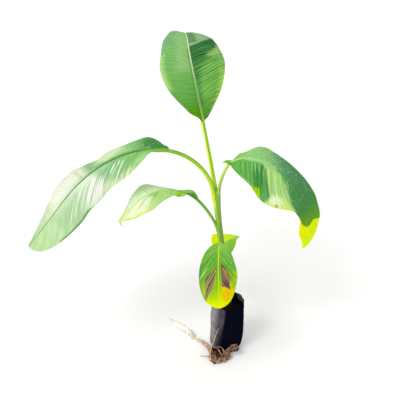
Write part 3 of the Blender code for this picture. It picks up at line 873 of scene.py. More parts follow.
def front_leaf():
    """Old leaf that hangs at the front, yellowing, with two brown wedges."""
    brown = (124, 98, 82)
    dark_brown = (88, 58, 54)
    tan_brown = (176, 134, 66)
    left = Half(
        0.0404, (0.68, 0.43), (1, -4, -6), slant=(0.9, 1.5, 1.9, 1.9, 1.6), relief=0.8, wave=0.0008,
        tints=((158, 212, 104), (140, 200, 88), (112, 178, 62), (102, 168, 48), (126, 184, 36),
            (156, 204, 20), (206, 228, 6), (244, 246, 0)),
        contrast=(0.1, 0.16, 0.12, 0.1), specks=(0, 0.3, 0, 0), first_streak=20,
        margins=((56, 16, 0.003),),
        folds=(Fold(55, 5, -0.0008, (10, 40), lean=0.4),),
        patches=(
            Patch((160, 198, 20), strip((50, 72), (80, 115)), 0.004),
            Patch((96, 160, 96), strip((24, 48), (86, 115)), 0.004, 0.5),
            Patch((232, 202, 6),
                ((69, 12), (70.5, 44), (74.5, 66), (73.5, 84), (83, 95), (90, 84), (92.5, 50),
                    (84, 18)), 0.003),
            Patch((226, 176, 20), ((71.5, 40), (75, 66), (80, 80), (86, 62), (77, 36)), 0.005, 0.6),
            Patch((196, 196, 30), ((60, 66), (66, 78), (74, 76), (71, 60), (64, 58)), 0.0018, 0.8),
            Patch(brown,
                ((38.5, 14), (43.2, 33), (49, 47), (57, 55), (63.5, 70), (66, 60), (71.5, 56),
                    (75.2, 68), (71.5, 44), (69.8, 17), (61.5, 14), (45, 12)), 0.0007, ragged=0.0006),
            Patch(tan_brown, ((44, 20), (47, 36), (52, 46), (55, 40), (50, 24)), 0.0014, streaky=0.4,
                ragged=0.001),
            Patch((160, 88, 56), ((50, 40), (55.5, 52), (62, 60), (60, 48), (54, 38)), 0.0012,
                streaky=0.4, ragged=0.0008),
            Patch(dark_brown, ((38.5, 14), (43.2, 33), (49, 47), (46, 34), (41, 15)), 0.0008, 0.8),
            Patch(dark_brown, ((60, 40), (65.5, 55), (75.2, 69), (71.2, 44), (69.5, 20), (66, 22)),
                0.001, 0.85, streaky=0.3),
            Patch((190, 190, 40), strip((55, 57), (22, 34), 0.45), 0.0007, 0.6),
            Patch((206, 200, 60), ((60, 60), (63, 66), (69, 70), (67, 62)), 0.0008, 0.8),
        ),
        streaks=(
            Streaks((160, 212, 118), 0.7, 0.4,
                ((16.6, 26, 22, 70), (13.3, 40, 18.1, 90), (24, 30, 27, 86))),
            Streaks((70, 146, 36), 1, 0.6,
                ((20, 20, 24.5, 70), (29, 30, 31, 90), (32.1, 40, 37.1, 80))),
            Streaks((208, 170, 96), 0.7, 0.7, ((35.8, 18, 39.7, 56), (40.4, 26, 41.6, 62))),
            Streaks((150, 84, 60), 0.6, 0.6, ((38, 18, 41, 56), (44.3, 18, 47, 44))),
            Streaks((140, 120, 126), 0.7, 0.6, ((47, 16, 49.2, 42), (42, 20, 44.6, 50))),
        ))
    right = Half(
        0.0444, (0.8, 0.52), (0, -7, -13), slant=(0.9, 1.5, 1.9, 1.9, 1.6), relief=0.9, wave=0.0008,
        tints=((150, 206, 74), (130, 192, 70), (104, 170, 58), (96, 164, 46), (112, 172, 44),
            (140, 190, 26), (184, 216, 8), (232, 244, 0)),
        contrast=(0.1, 0.18, 0.18, 0.1), specks=(0, 0.35, 0.2, 0, 0), first_patch=12,
        margins=((20, 10, 0.0006), (95, 6, 0.0024)),
        folds=(Fold(50, 5, -0.0008, (20, 50), lean=0.4),),
        patches=(
            Patch(brown,
                ((41.5, 10), (50.3, 37), (59, 66), (67.7, 70), (76, 70), (90, 98), (85.3, 73), (77, 48),
                    (70.5, 28), (63.3, 20), (55, 15), (45.8, 9)), 0.0016, 0.9, ragged=0.001),
            Patch(dark_brown, ((46, 18), (59, 52), (66, 60), (70, 50), (56, 24)), 0.002, 0.6,
                streaky=0.5),
            Patch((156, 128, 96), ((60, 24), (74, 46), (84, 72), (74, 34), (66, 22)), 0.0014, 0.8,
                streaky=0.3),
            Patch((196, 196, 90),
                ((47.8, 10), (59.3, 36), (74.8, 71), (74.5, 75), (58.8, 39), (47, 12)), 0.0005, 0.8,
                ragged=0.0004),
            Patch((180, 206, 40), ((55, 14), (64, 19), (71, 27), (70, 22), (63, 13), (56, 10)), 0.0008,
                0.7),
            Patch((76, 146, 56), strip((40, 62), (86, 115)), 0.003, 0.7),
            Patch((120, 168, 50), strip((62, 90), (88, 115)), 0.003, 0.8),
        ),
        streaks=(
            Streaks((206, 232, 190), 0.65, 0.8, ((28.2, 53, 30.7, 92),)),
            Streaks((156, 208, 116), 0.7, 0.4,
                ((11.1, 50, 19, 92), (14.5, 42, 21.2, 80), (21.1, 30, 25.4, 66), (29, 24, 31.2, 52),
                    (24.6, 34, 27, 80))),
            Streaks((62, 140, 40), 1, 0.6,
                ((17.5, 20, 23.2, 70), (8, 40, 15, 85), (26, 20, 28.5, 60), (33, 70, 34.5, 98))),
            Streaks((180, 156, 126), 0.7, 0.7, ((56, 26, 60, 66), (50.5, 34, 52, 66))),
            Streaks((84, 60, 62), 0.8, 0.6, ((40, 20, 40.5, 55), (47, 26, 48, 66), (37, 44, 37.2, 68))),
            Streaks((206, 206, 110), 0.6, 0.8, ((37.3, 14, 41.4, 68), (36.4, 72, 43.4, 88))),
            Streaks((126, 176, 60), 0.8, 0.7,
                ((62, 20, 64, 66), (35.1, 84, 43.6, 98), (66, 20, 69, 60))),
        ))
    return Leaf(
        "front", beside_stem(0.234, -93, 0.0033), 0.146, (0.0033, 0.0028), (91, 39), (-109, -98), 0.167,
        (-55, -64, -79), (-92, -86, -81), 16, bearing=-93, peel=0.035, layer=1.09, wrap=120,
        bow=((0, 0, 0), (0.0006, 0, 0), (0.0017, 0, 0)),
        sheath_tints=((150, 140, 76), (150, 176, 64), (140, 184, 56)),
        petiole_tints=((150, 192, 60), (170, 205, 60), (190, 215, 70)),
        rib_tints=((186, 212, 50), (186, 214, 40), (196, 220, 36), (214, 230, 20), (232, 240, 40)),
        left=left, right=right)


def back_leaf():
    """Old leaf that arches away behind the stem, yellow on its left half, with painted light and shade on
    its right.
    """
    yellow = (252, 255, 0)
    lime = (222, 252, 62)
    left = Half(
        0.035, (0.51, 0.61), (18, 4, -4), slant=(1.0, 1.0), relief=0.6, wave=0.0008,
        tints=((180, 224, 40), (230, 246, 6), yellow, yellow, (240, 248, 10)),
        contrast=(0.06, 0.06),
        margins=((45, 12, -0.0004), (74, 12, 0.0034)))
    right = Half(
        0.033, (0.63, 0.6), (16, 8, -2), slant=(1.0, 1.0), relief=0.7, wave=0.0008,
        tints=((146, 206, 66), (154, 212, 72), (158, 216, 74), lime, lime, (224, 246, 56)),
        contrast=(0.08, 0.08),
        margins=((36, 10, -0.003), (48, 5, 0.0016), (60, 6.5, -0.003), (80, 12, -0.006)),
        patches=(
            # Painted light where this half bends over; the green at its base and along its margin is
            # painted shade.
            Patch(lime, strip((30, 110), (-10, 85), 0.12), 0.0012),
            Patch((154, 212, 72), strip((42, 110), (80, 115), 0), 0.0015),
        ))
    return Leaf(
        "back", beside_stem(0.203, 92, 0.003), 0.055, (0.003, 0.0027), (86, 69), (95, 93), 0.135,
        (18, -45, -66), (84, 76, 74), 19, bearing=92, peel=0.03, layer=1.04, wrap=120,
        bow=((0, 0, 0), (0, 0, 0), (0, 0, -0.0024)), rib=(1.15, 0.4, 0.12, 0.06, 0.05),
        sheath_tints=((150, 145, 80), (130, 165, 60), (130, 170, 60)),
        petiole_tints=((140, 180, 60), (150, 190, 60), (160, 200, 64)),
        rib_tints=((140, 190, 60), (214, 244, 50), (226, 252, 50)),
        left=left, right=right)


# ---------------------------------------------------------------- the leaves' rule

def line(foot, length, pitches, headings, steps):
    """Points, tangents, left sides and upper normals at even stations of a bending line."""
    def direction(t):
        pitch = np.radians(smooth(pitches, t))
        heading = np.radians(smooth(headings, t))
        flat = flat_ring(heading, 1.0)
        tangent = flat * np.cos(pitch)[:, None]
        tangent[:, 2] = np.sin(pitch)
        side = np.stack([-flat[:, 1], flat[:, 0], 0 * heading], -1)
        return tangent, side

    places = shares(steps + 1)
    middles = (places[:-1] + places[1:]) / 2
    moves = direction(middles)[0] * (length / steps)
    points = np.concatenate([[foot], foot + np.cumsum(moves, axis=0)])
    tangent, side = direction(places)
    return points, tangent, side, np.cross(tangent, side)


def petiole_line(leaf):
    """The solid petiole's line, moved by the leaf's bow."""
    points, *looks = line(leaf.foot, leaf.petiole_length, leaf.petiole_pitch, leaf.petiole_heading,
                          PETIOLE_STATIONS)
    return (points + smooth(leaf.bow, shares(len(points))), *looks)


def blade_line(leaf):
    points, tangent, _, _ = petiole_line(leaf)
    return line(points[-1] + tangent[-1] * GAP, leaf.blade_length,
                (leaf.petiole_pitch[1], *leaf.blade_pitch),
                (leaf.petiole_heading[1], *leaf.blade_heading), BLADE_STATIONS)


def half_width(t, widest, shape):
    opening, closing = shape
    peak = opening / (opening + closing)
    scale = peak ** opening * (1 - peak) ** closing
    t = np.clip(t, 0.0, 1.0)
    return widest * t ** opening * (1 - t) ** closing / scale


def rib_radius(leaf, t):
    return leaf.petiole_radius[1] * (1 - t) + RIB_END_RADIUS * t


def rib_shown(leaf, t):
    """Radius of the midrib that shows between the blade's halves."""
    return rib_radius(leaf, t) * level(leaf.rib, t)


def vein_rows(length):
    """Shares along the blade: several rows for each vein, and closer ones at both ends."""
    start = END_SHARE * (np.arange(END_ROWS) / END_ROWS) ** 2
    count = int(length / VEIN_SPACING * ROWS_PER_VEIN)
    middle = np.linspace(END_SHARE, 1 - END_SHARE, count)
    return np.concatenate([start, middle, 1 - start[::-1]])


def along_vein(u, s, slant):
    """Share along the blade of a vein that left the midrib at u and has run out to s."""
    return 1 - (1 - u) ** (1 + level(slant, u) * s ** 1.15)


def edge_depth(x, y, corners):
    """Distance to a flat outline's edge, positive inside it."""
    nearest = np.full(x.shape, np.inf)
    inside = np.zeros(x.shape, bool)
    for (x1, y1), (x2, y2) in zip(corners, np.roll(corners, -1, axis=0)):
        dx = x2 - x1
        dy = y2 - y1
        f = np.clip(((x - x1) * dx + (y - y1) * dy) / (dx * dx + dy * dy), 0, 1)
        nearest = np.minimum(nearest, np.hypot(x - x1 - f * dx, y - y1 - f * dy))
        crosses = (y1 > y) != (y2 > y)
        inside ^= crosses & (x < x1 + dx * (y - y1) / (dy if dy else 1.0))
    return np.where(inside, nearest, -nearest)


def paint(half, size, u, t, s, veins, seed):
    """Colour of a half's upper side: its ramp from base to tip, its patches, its streaks."""
    colour = ramp(half.tints, t)
    flat = np.stack([t, s], -1) * size
    for number, patch in enumerate(half.patches, half.first_patch):
        wander = patch.ragged * clouds(flat, 0.004, seed + number)
        depth = edge_depth(flat[..., 0], flat[..., 1], np.array(patch.corners) / 100 * size)
        mask = step(-patch.soft, patch.soft, depth + wander) * patch.strength
        mask = mask * (1 - patch.streaky * step(-0.2, 1.2, veins))
        colour = colour + (srgb(*patch.colour) - colour) * mask[..., None]
    drawn = [(group, line) for group in half.streaks for line in group.lines]
    for number, (group, line) in enumerate(drawn, half.first_streak):
        start, near, end, far = np.array(line) / 100
        width = group.width / 100
        middle = start + (end - start) * np.clip((s - near) / (far - near), 0, 1)
        middle = middle + 0.25 * width * clouds(s[..., None] + number, 0.3, seed)
        ends = step(near - 0.05, near + 0.10, s) * step(far + 0.12, far - 0.10, s)
        mask = np.exp(-((u - middle) / width) ** 2) * ends * group.strength
        colour = colour + (srgb(*group.colour) - colour) * mask[..., None]
    return colour


def folds_height(half, along, across):
    height = np.zeros_like(along)
    for fold in half.folds:
        away = (along - fold.lean * across - fold.along) / fold.width
        height += fold.height * np.exp(-away ** 2) * step(*fold.across, across)
    return height


def add_lamina(skin, leaf, half, sign, seed, box):
    """One thin half of the blade, from inside the midrib to the margin and back underneath."""
    points, _, side, normal = blade_line(leaf)
    u = vein_rows(leaf.blade_length)[:, None]
    s = shares(LAMINA_COLUMNS)[None, :]
    t = np.clip(along_vein(u, s, half.slant), 0, 1)
    s = np.broadcast_to(s, t.shape)

    rib = rib_radius(leaf, t)
    width = half_width(t, half.width, half.shape)
    for along, spread, out in half.margins:
        width = width + out * np.exp(-((100 * t - along) / spread) ** 2) * step(0.0, 0.03, t)
    width = np.maximum(width, rib + TIP_HALF_WIDTH)
    inner = (0.50 + 0.40 * step(0.14, 0.02, t)) * np.minimum(rib_shown(leaf, t), 0.9 * rib)
    run = inner + (width - inner) * s
    lift = np.radians(smooth(half.lift, t))
    curl = radians(leaf.curl)
    beyond = np.clip((run - rib) / (width - rib), 0, 1)
    turned = lift - curl * beyond
    near = np.minimum(run, rib)
    out = near * np.cos(lift) + (width - rib) * (np.sin(lift) - np.sin(turned)) / curl
    up = near * np.sin(lift) + (width - rib) * (np.cos(turned) - np.cos(lift)) / curl

    side_here = level(side, t) * sign
    normal_here = level(normal, t)
    face = normal_here * np.cos(turned)[..., None] - side_here * np.sin(turned)[..., None]
    upper = level(points, t) + side_here * out[..., None] + normal_here * up[..., None]

    # Veins: pleats whose spacing wanders a little, flat at the midrib, the margin and the ends.
    flat = np.stack([u * leaf.blade_length + 0 * s, s * half.width], -1)
    phase = u * leaf.blade_length / VEIN_SPACING + 0.35 * clouds(flat, 0.05, seed + 1)
    pleat = 0.45 - np.abs(np.cos(pi * phase)) ** 5
    drawn_out = flat * [1.0, 0.07]
    veins = 0.6 * clouds(drawn_out, 0.009, seed + 3) + 0.5 * clouds(drawn_out, 0.0035, seed + 4)
    calm = step(0.02, 0.10, s) * step(1.0, 0.92, s) * step(0.0, 0.05, t) * step(1.0, 0.95, t)
    height = VEIN_RELIEF * half.relief * (1.2 * pleat + 0.7 * veins) * calm
    height += folds_height(half, 100 * t, 100 * s) * calm ** 0.2
    swell = clouds(flat[..., :1], 0.055, seed + 2) * step(0.0, 0.1, t) * step(1.0, 0.9, t)
    height += half.wave * s ** 2.5 * swell
    upper = upper + face * height[..., None]
    thickness = LAMINA_THICKNESS * (1 - 0.6 * step(0.93, 1.0, s))
    lower = upper - face * thickness[..., None]

    colour = paint(half, np.array([leaf.blade_length, half.width]), u, t, s, veins, seed + 10)
    # Painted shade and light: darker in the pleats' valleys, lighter on their ridges.
    marks = leaf.regular * 1.1 * pleat + (1 - leaf.regular) * veins
    shade = 1 + level(half.contrast, t) * calm * marks
    colour = np.clip(colour * shade[..., None], 0.0, 1.0)
    pale = colour.mean(-1, keepdims=True)
    under = colour + (pale * srgb(*UNDERSIDE_TINT) / 0.62 - colour) * 0.30
    rows = np.concatenate([upper, lower[:, ::-1]], axis=1)
    both = np.concatenate([colour, under[:, ::-1]], axis=1)
    grain = np.stack([phase, s * half.width / VEIN_SPACING, np.full_like(t, seed)], -1)
    grain = np.concatenate([grain, grain[:, ::-1]], axis=1)
    dusty = np.concatenate([level(half.specks, t) * step(0.97, 0.90, s), 0 * t], axis=1)
    if sign > 0:
        rows, both, grain, dusty = (part[:, ::-1] for part in (rows, both, grain, dusty))
    skin.add(rows, both, grain, box, dusty)


def add_flap(skin, flap, box):
    """Loose strip of blade: thin, a little hollow across, with rounded ends."""
    share = shares(FLAP_STATIONS)
    points = smooth(flap.route, share)
    tangents = unit(np.gradient(points, axis=0))
    across = unit(np.cross(tangents, np.array(flap.facing)))
    face = np.cross(across, tangents)
    half = np.maximum(smooth(flap.half_widths, share), 0.0004)
    places = np.linspace(-1, 1, 9)
    shape = points[:, None] + across[:, None] * (half[:, None] * places)[..., None]
    hollow = 0.18 * half[:, None] * (places ** 2 - 0.5)
    upper = shape + face[:, None] * hollow[..., None]
    lower = upper - face[:, None] * LAMINA_THICKNESS
    rows = np.concatenate([upper, lower[:, ::-1]], axis=1)
    round_places = np.concatenate([places, places[::-1]])
    # Painted shading: each strip is lighter towards one edge and darker towards the other.
    tints = ramp(flap.tints, share)[:, None, :] * (1 + 0.12 * round_places)[:, None]
    grain = np.zeros(rows.shape)
    grain[..., 0] = round_places * half[:, None] / 0.004
    grain[..., 1] = share[:, None]
    skin.add(rows[:, ::-1], tints[:, ::-1], grain[:, ::-1], box)


def make_blade(leaf, seed, material, slot):
    skin = Skin()
    add_lamina(skin, leaf, leaf.left, 1, seed, LEFT_BOX)
    add_lamina(skin, leaf, leaf.right, -1, seed + 50, RIGHT_BOX)
    for number, flap in enumerate(leaf.flaps):
        add_flap(skin, flap, (0.01 + 0.33 * number, 0.93, 0.32 + 0.33 * number, 0.99))
    piece = skin.finish("leaf_" + leaf.name, material)
    return mount(piece, slot, "blade_" + leaf.name)


# ---------------------------------------------------------------- sheaths, stalks and midribs

LIT_SIDE = np.array([-0.90, -0.36, 0.24])       # where the stalks are palest
LIT_ROUND = 0.22                    # how much further round the light reaches on a sheath
DRY_SHADED_FOOT = (0.138, 0.172)           # heights between which the stem's dry foot, in painted shade, ends
DRY_SHADE_TINT = (42, 34, 27)
STEM_CORE_RISE = 0.014              # above the fork: fills the gap between the top petioles
STEM_TINTS = ((120, 140, 60), (100, 150, 56), (140, 188, 60))


def dried_and_shaded(tints, rows):
    """The tints, brownish black near the stem's foot: dry sheath, and painted shade in the bag's mouth."""
    dry = step(DRY_SHADED_FOOT[1], DRY_SHADED_FOOT[0], rows[..., 2])[..., None]
    return tints + (srgb(*DRY_SHADE_TINT) - tints) * dry


def stalk_ring(centre, side, normal, left, right, keel, channel, lip):
    """Ring round a stalk: under the keel from the right edge to the left, back over the channel.

    The edges are given by how far out and how far up they are.
    """
    under = np.linspace(0, pi, UNDER_POINTS)
    over = np.linspace(0, pi, OVER_POINTS + 2)[1:-1]
    turns = np.concatenate([under, pi - over])
    edges = np.where((turns < pi / 2)[:, None], right, left) * np.abs(np.cos(turns))[:, None]
    rise = edges[:, 1] + np.concatenate([
        -keel * np.sin(under), channel * np.sin(over) ** 2 + lip * np.sin(2 * over) ** 2])
    return centre + side * edges[:, :1] + normal * rise[:, None]


def petiole_ring(centre, side, normal, radius):
    radius = radius * PETIOLE_SHARE
    out, up, keel, channel, lip = radius * np.array([0.97, 0.25, 0.95, 0.40, 0.44])
    return stalk_ring(centre, side, normal, (out, up), (-out, up), keel, channel, lip)


def midrib_ring(leaf, t, centre, side, normal):
    """The midrib between the blade's halves: a flat channel above and a keel below."""
    rib = rib_shown(leaf, t)
    left, right = (np.radians(smooth(half.lift, t)) for half in (leaf.left, leaf.right))
    left_edge = (rib * np.cos(left), rib * np.sin(left))
    right_edge = (-rib * np.cos(right), rib * np.sin(right))
    return stalk_ring(centre, side, normal, left_edge, right_edge, 1.8 * rib, 0.10 * rib + 0.0003,
                      0.16 * rib)


def sheath_ring(leaf, height, wrap):
    """Crescent round the stem, thin at both edges, with its inner side in the stem's core."""
    centre = stem_centre(height)
    size = np.array([between(STEM_OUTLINE, height, 1), between(STEM_OUTLINE, height, 2), 0.0])
    turns = np.concatenate([
        np.linspace(-1, 1, UNDER_POINTS), np.linspace(1, -1, OVER_POINTS + 2)[1:-1]])
    outside = np.arange(len(turns)) < UNDER_POINTS
    thick = (leaf.layer - SHEATH_CORE + 0.04) * (1 - np.abs(turns) ** 8)
    share = np.where(outside, SHEATH_CORE - 0.04 + thick, SHEATH_CORE - 0.10)
    bearing = radians(leaf.bearing) + turns * wrap
    return centre + flat_ring(bearing, 1.0) * size * share[:, None]


def sheath_rings(leaf):
    """From the soil up to the petiole's foot, where the sheath closes into the petiole."""
    foot, tangent, side, normal = (part[0] for part in petiole_line(leaf))
    rings = []
    low = STEM_FOOT - 0.002
    for height in np.linspace(low, foot[2], 70)[:-1]:
        narrow = step(0.05, 1.0, (height - low) / (foot[2] - low))
        wrap = radians(leaf.wrap) * (1 - narrow) + radians(min(leaf.wrap, SHEATH_HEAD_WRAP)) * narrow
        crescent = sheath_ring(leaf, max(height, STEM_FOOT), wrap)
        crescent[:, 2] = height
        apart = float(step(foot[2] - leaf.peel, foot[2], height))
        if apart > 0:
            centre = foot - tangent * ((foot[2] - height) / tangent[2])
            free = petiole_ring(centre, side, normal, leaf.petiole_radius[0])
            crescent = crescent * (1 - apart) + free * apart
        rings.append(crescent)
    return rings


def petiole_rings(leaf):
    points, _, side, normal = petiole_line(leaf)
    radii = level(leaf.petiole_radius, shares(len(points)))
    return [petiole_ring(*place) for place in zip(points, side, normal, radii)]


def midrib_rings(leaf):
    points, _, side, normal = blade_line(leaf)
    rings = []
    for t in shares(MIDRIB_STATIONS + 1)[1:]:
        centre, across, above = (level(part, t) for part in (points, side, normal))
        ring = midrib_ring(leaf, t, centre, across, above)
        if t < RIB_BLEND:
            petiole = petiole_ring(centre, across, above, rib_radius(leaf, t))
            share = float(step(0.0, RIB_BLEND, t))
            ring = petiole * (1 - share) + ring * share
        rings.append(ring)
    return rings


def make_stalk(leaf, material):
    """Sheath, petiole and midrib in one piece, from the soil to the blade's tip."""
    sheath = sheath_rings(leaf)
    petiole = petiole_rings(leaf)
    midrib = midrib_rings(leaf)
    rows = np.array(sheath + petiole + midrib)
    tints = np.concatenate([
        ramp(leaf.sheath_tints, shares(len(sheath))),
        ramp(leaf.petiole_tints, shares(len(petiole))),
        ramp(leaf.rib_tints, shares(len(midrib)))])
    # The blend of neighbouring rows hides the joins between the three ramps.
    blur = np.ones(BLUR_ROWS) / BLUR_ROWS
    padded = np.pad(tints, ((BLUR_ROWS // 2,) * 2, (0, 0)), mode="edge")
    tints = np.stack([np.convolve(padded[:, i], blur, mode="valid") for i in range(3)], -1)
    middles = rows.mean(1)
    middles[:len(sheath)] = [stem_centre(height) for height in middles[:len(sheath), 2]]
    outward = unit(rows - middles[:, None])
    edge = np.zeros((len(rows), 1))
    edge[:len(sheath)] = LIT_ROUND
    lit = step(-edge, 0.90 - edge, outward @ LIT_SIDE) * np.concatenate([
        leaf.lit[0] * step(0.87, 0.93, shares(len(sheath))),
        np.full(len(petiole), leaf.lit[1]),
        leaf.lit[1] * np.linspace(1, 0, len(midrib)) ** 6])[:, None]
    tints = tints[:, None] + (srgb(*leaf.lit_tint) - tints[:, None]) * lit[..., None]
    tints = dried_and_shaded(tints, rows)
    grain = np.zeros(rows.shape)
    grain[..., 0] = shares(rows.shape[1]) * 0.02
    grain[..., 1] = run_lengths(rows.mean(1))[:, None]
    grain[..., 2] = len(leaf.name)
    skin = Skin()
    skin.add(rows, tints, grain)
    piece = skin.finish("stalk_" + leaf.name, material, radians(75))
    return mount(piece, "stem", "petiole_" + leaf.name)


def make_stem(material):
    """The stem's core, which shows between the sheaths and closes under the top petioles."""
    heights = np.linspace(STEM_FOOT - 0.002, FORK + STEM_CORE_RISE, 110)
    angles = even_angles(28)
    rings = []
    for height in heights:
        inside = np.clip(height, STEM_FOOT, FORK)
        close = SHEATH_CORE * (1 - 0.85 * step(FORK - 0.004, FORK + STEM_CORE_RISE, height))
        half_x, half_y = (between(STEM_OUTLINE, inside, column) * close for column in (1, 2))
        rings.append(stem_centre(height) + flat_ring(angles, half_x, half_y))
    rows = np.array(rings)
    tints = ramp(STEM_TINTS, shares(len(rows)))[:, None]
    grain = np.zeros(rows.shape)
    grain[..., 0] = np.linspace(0, 0.03, len(angles))
    grain[..., 1] = heights[:, None]
    skin = Skin()
    skin.add(rows, dried_and_shaded(tints, rows), grain)
    return mount(skin.finish("stem_core", material), "stem", "pseudostem")


# ---------------------------------------------------------------- bag and soil

BAG_SIDES = 160
BAG_CREASE_TOP = radians(-101)      # bearing of the sharp crease down the bag's front
BAG_CREASE_LOW = radians(-109)
BAG_CREASE_RISE = 0.012             # of the rim at the crease
BAG_CORNER_RISE = 0.004             # and at its back right corner
BAG_CORNER_BEARING = radians(38)
BAG_FILM = 0.0004                   # half the film's thickness at its rim
BAG_SLUMP = 0.0044                  # of the bag's top, towards -X
BAG_FOOT_RADII = (0.0020, 0.0120, 0.0220, 0.0290)
BAG_TINT = (6, 10, 24)
LIP_TURNS = (0.25 * pi, 0.5 * pi, 0.75 * pi)    # round the rim's edge
RIM_LIFT_START = 0.118              # height from which the rim's waves grow
RIM_LIT_BEARING = radians(30)       # of the painted highlight on the rim's inner side
SOIL_BASE = SOIL_TOP - 0.016        # the film is thin down to here, and the soil's skin starts
SOIL_SINK = 0.0012                  # of its middle, below the solid's top
# The soil and its crumbs are near black: painted shade in the bag's mouth.
SOIL_SHADE_TINT = (3, 5, 13)
CRUMBS = 620
CRUMB_SHADE_TINTS = ((4, 7, 15), (8, 10, 18), (3, 5, 12), (15, 16, 24))


def bag_axis(height):
    """Middle of the bag at a height: it leans, and slumps back a little towards its rim."""
    slump = BAG_SLUMP * step(0.030, 0.135, height)
    return np.stack([np.tan(BAG_LEAN) * height - slump, 0 * height, height], -1)


def turn_from(bearing, angle):
    """Signed angle from a bearing, within half a turn."""
    return (angle - bearing + pi) % (2 * pi) - pi


def crease_bearing(height):
    share = np.clip(height / 0.120, 0, 1)
    return BAG_CREASE_LOW + (BAG_CREASE_TOP - BAG_CREASE_LOW) * share


def bag_relief(angle, height):
    """How far the film stands out from the turned outline: a crease, facets and wrinkles."""
    off = turn_from(crease_bearing(height), angle)
    relief = 0.0014 * np.exp(-(off / 0.12) ** 2)
    belly = band(0.012, 0.070, 0.020, height) * step(1.0, 0.2, np.abs(turn_from(0.0, angle)))
    relief = relief + 0.0018 * belly
    relief = relief - 0.0012 * step(0.090, 0.125, height)
    relief = relief - 0.0016 * np.exp(-((off + 0.62) / 0.40) ** 2)
    relief = relief - 0.0010 * np.exp(-((off - 0.45) / 0.28) ** 2)
    relief = relief + 0.0005 * clouds(flat_ring(angle, 0.04, height=height * 0.35), 0.022, 301)
    low = flat_ring(angle, 0.04, height=height)
    crumple = step(0.050, 0.010, height) + 0.7 * step(0.100, 0.130, height)
    relief = relief + 0.0005 * clouds(low, 0.010, 302) * (0.25 + crumple)
    relief = relief + 0.00025 * clouds(low, 0.004, 303) * (0.3 + crumple)
    return relief * step(0.0, 0.012, height)


def rim_lift(angle, height):
    share = np.clip((height - RIM_LIFT_START) / (BAG_RIM_HEIGHT - RIM_LIFT_START), 0, 1)
    towards = 0.5 + 0.5 * np.cos(angle - BAG_RIM_RISE_BEARING)
    wave = 0.0011 * np.sin(5 * angle + 0.6) + 0.0007 * np.sin(9 * angle + 2.0)
    peak = BAG_CREASE_RISE * np.exp(-(turn_from(BAG_CREASE_TOP - 0.25, angle) / 0.80) ** 2)
    peak = peak + BAG_CORNER_RISE * np.exp(-(turn_from(BAG_CORNER_BEARING, angle) / 0.45) ** 2)
    return (BAG_RIM_RISE * towards + wave + peak) * share


def bag_ring(height, inset, angles):
    """Ring of the film at a height, moved in by the inset."""
    height = np.full_like(angles, height)
    radius = between(BAG_OUTLINE, height, 1) + bag_relief(angles, height) - inset
    ring = flat_ring(angles, radius) + bag_axis(height)
    ring[:, 2] += rim_lift(angles, height)
    return ring


def bag_dust_and_light(angles, heights):
    """Dry soil and painted light on the facet left of the crease, and a trace of dry soil along the foot.
    """
    off = turn_from(crease_bearing(heights), angles)
    soft = 0.50 * step(0.112, 0.040, heights)
    # The facet: dry soil, and painted light where the film faces the lamp.
    facet = step(0.03, -0.03 - soft, off) * step(-2.1, -1.5, off)
    fade = 1 - 0.75 * step(-0.85, -0.30, off)
    low = 0.06 * step(0.030, 0.004, heights)
    back = 0.30 * np.where(off < 0, step(-1.5, -2.1, off), step(2.0, 2.6, off))
    return np.clip(facet * fade * (0.72 + 0.13 * step(0.0, 0.1, heights)) + low + back, 0.004, 1)


def make_bag(material):
    angles = even_angles(BAG_SIDES)
    rows = [flat_ring(angles, radius) for radius in BAG_FOOT_RADII]
    outside = np.concatenate([np.linspace(0.0, 0.012, 12), np.linspace(0.0135, BAG_RIM_HEIGHT, 84)])
    rows += [bag_ring(height, 0.0, angles) for height in outside]
    rim = rows[-1]
    outward = unit(rim - bag_axis(rim[:, 2]))
    for turn in LIP_TURNS:
        lip = rim - outward * (BAG_FILM * (1 - cos(turn)))
        lip[:, 2] += BAG_FILM * sin(turn)
        rows.append(lip)
    inside = np.linspace(BAG_RIM_HEIGHT, SOIL_BASE, 17)
    rows += [bag_ring(height, 2 * BAG_FILM, angles) for height in inside]
    rows += [bag_ring(height, BAG_WALL, angles) for height in np.linspace(SOIL_BASE, 0.004, 60)[1:]]
    rows.append(flat_ring(angles, 0.002, height=0.004))
    rows = np.array(rows)
    heights = rows[..., 2]
    dust_and_light = bag_dust_and_light(np.broadcast_to(angles, heights.shape), heights)
    count = len(BAG_FOOT_RADII) + len(outside)
    inner = slice(count, count + len(LIP_TURNS) + len(inside))
    facing = np.abs(turn_from(RIM_LIT_BEARING, np.broadcast_to(angles, heights[inner].shape)))
    # Inside the rim: a painted highlight where it faces RIM_LIT_BEARING.
    dust_and_light[inner] = 0.01 + 0.42 * step(0.45, 0.30, facing) * step(0.124, 0.130, heights[inner])
    skin = Skin()
    skin.add(rows, srgb(*BAG_TINT), np.zeros(rows.shape), specks=dust_and_light)
    return mount(skin.finish("nursery_bag", material, radians(50)), "bag_plastic", "bag")


def on_soil(angles, reach, share):
    """Points of the soil's uneven surface at a share of the way out to its reach."""
    place = flat_ring(np.asarray(angles), reach * share)
    drop = SOIL_EDGE_DROP * step(0.72, 1.0, share)
    uneven = 0.0011 * clouds(place[..., :2], 0.016, 401) + 0.0007 * clouds(place[..., :2], 0.006, 402)
    place[..., 2] = SOIL_TOP - SOIL_SINK - drop + uneven
    return place


def soil_reach(angles):
    """How far out the soil goes at each bearing: up to the inside of the bag's wall."""
    heights, bearings = np.meshgrid(np.linspace(SOIL_BASE, SOIL_TOP, 9), angles)
    walls = between(BAG_OUTLINE, heights, 1) + bag_relief(bearings, heights)
    return walls.min(axis=1) - BAG_WALL - 2 * GAP


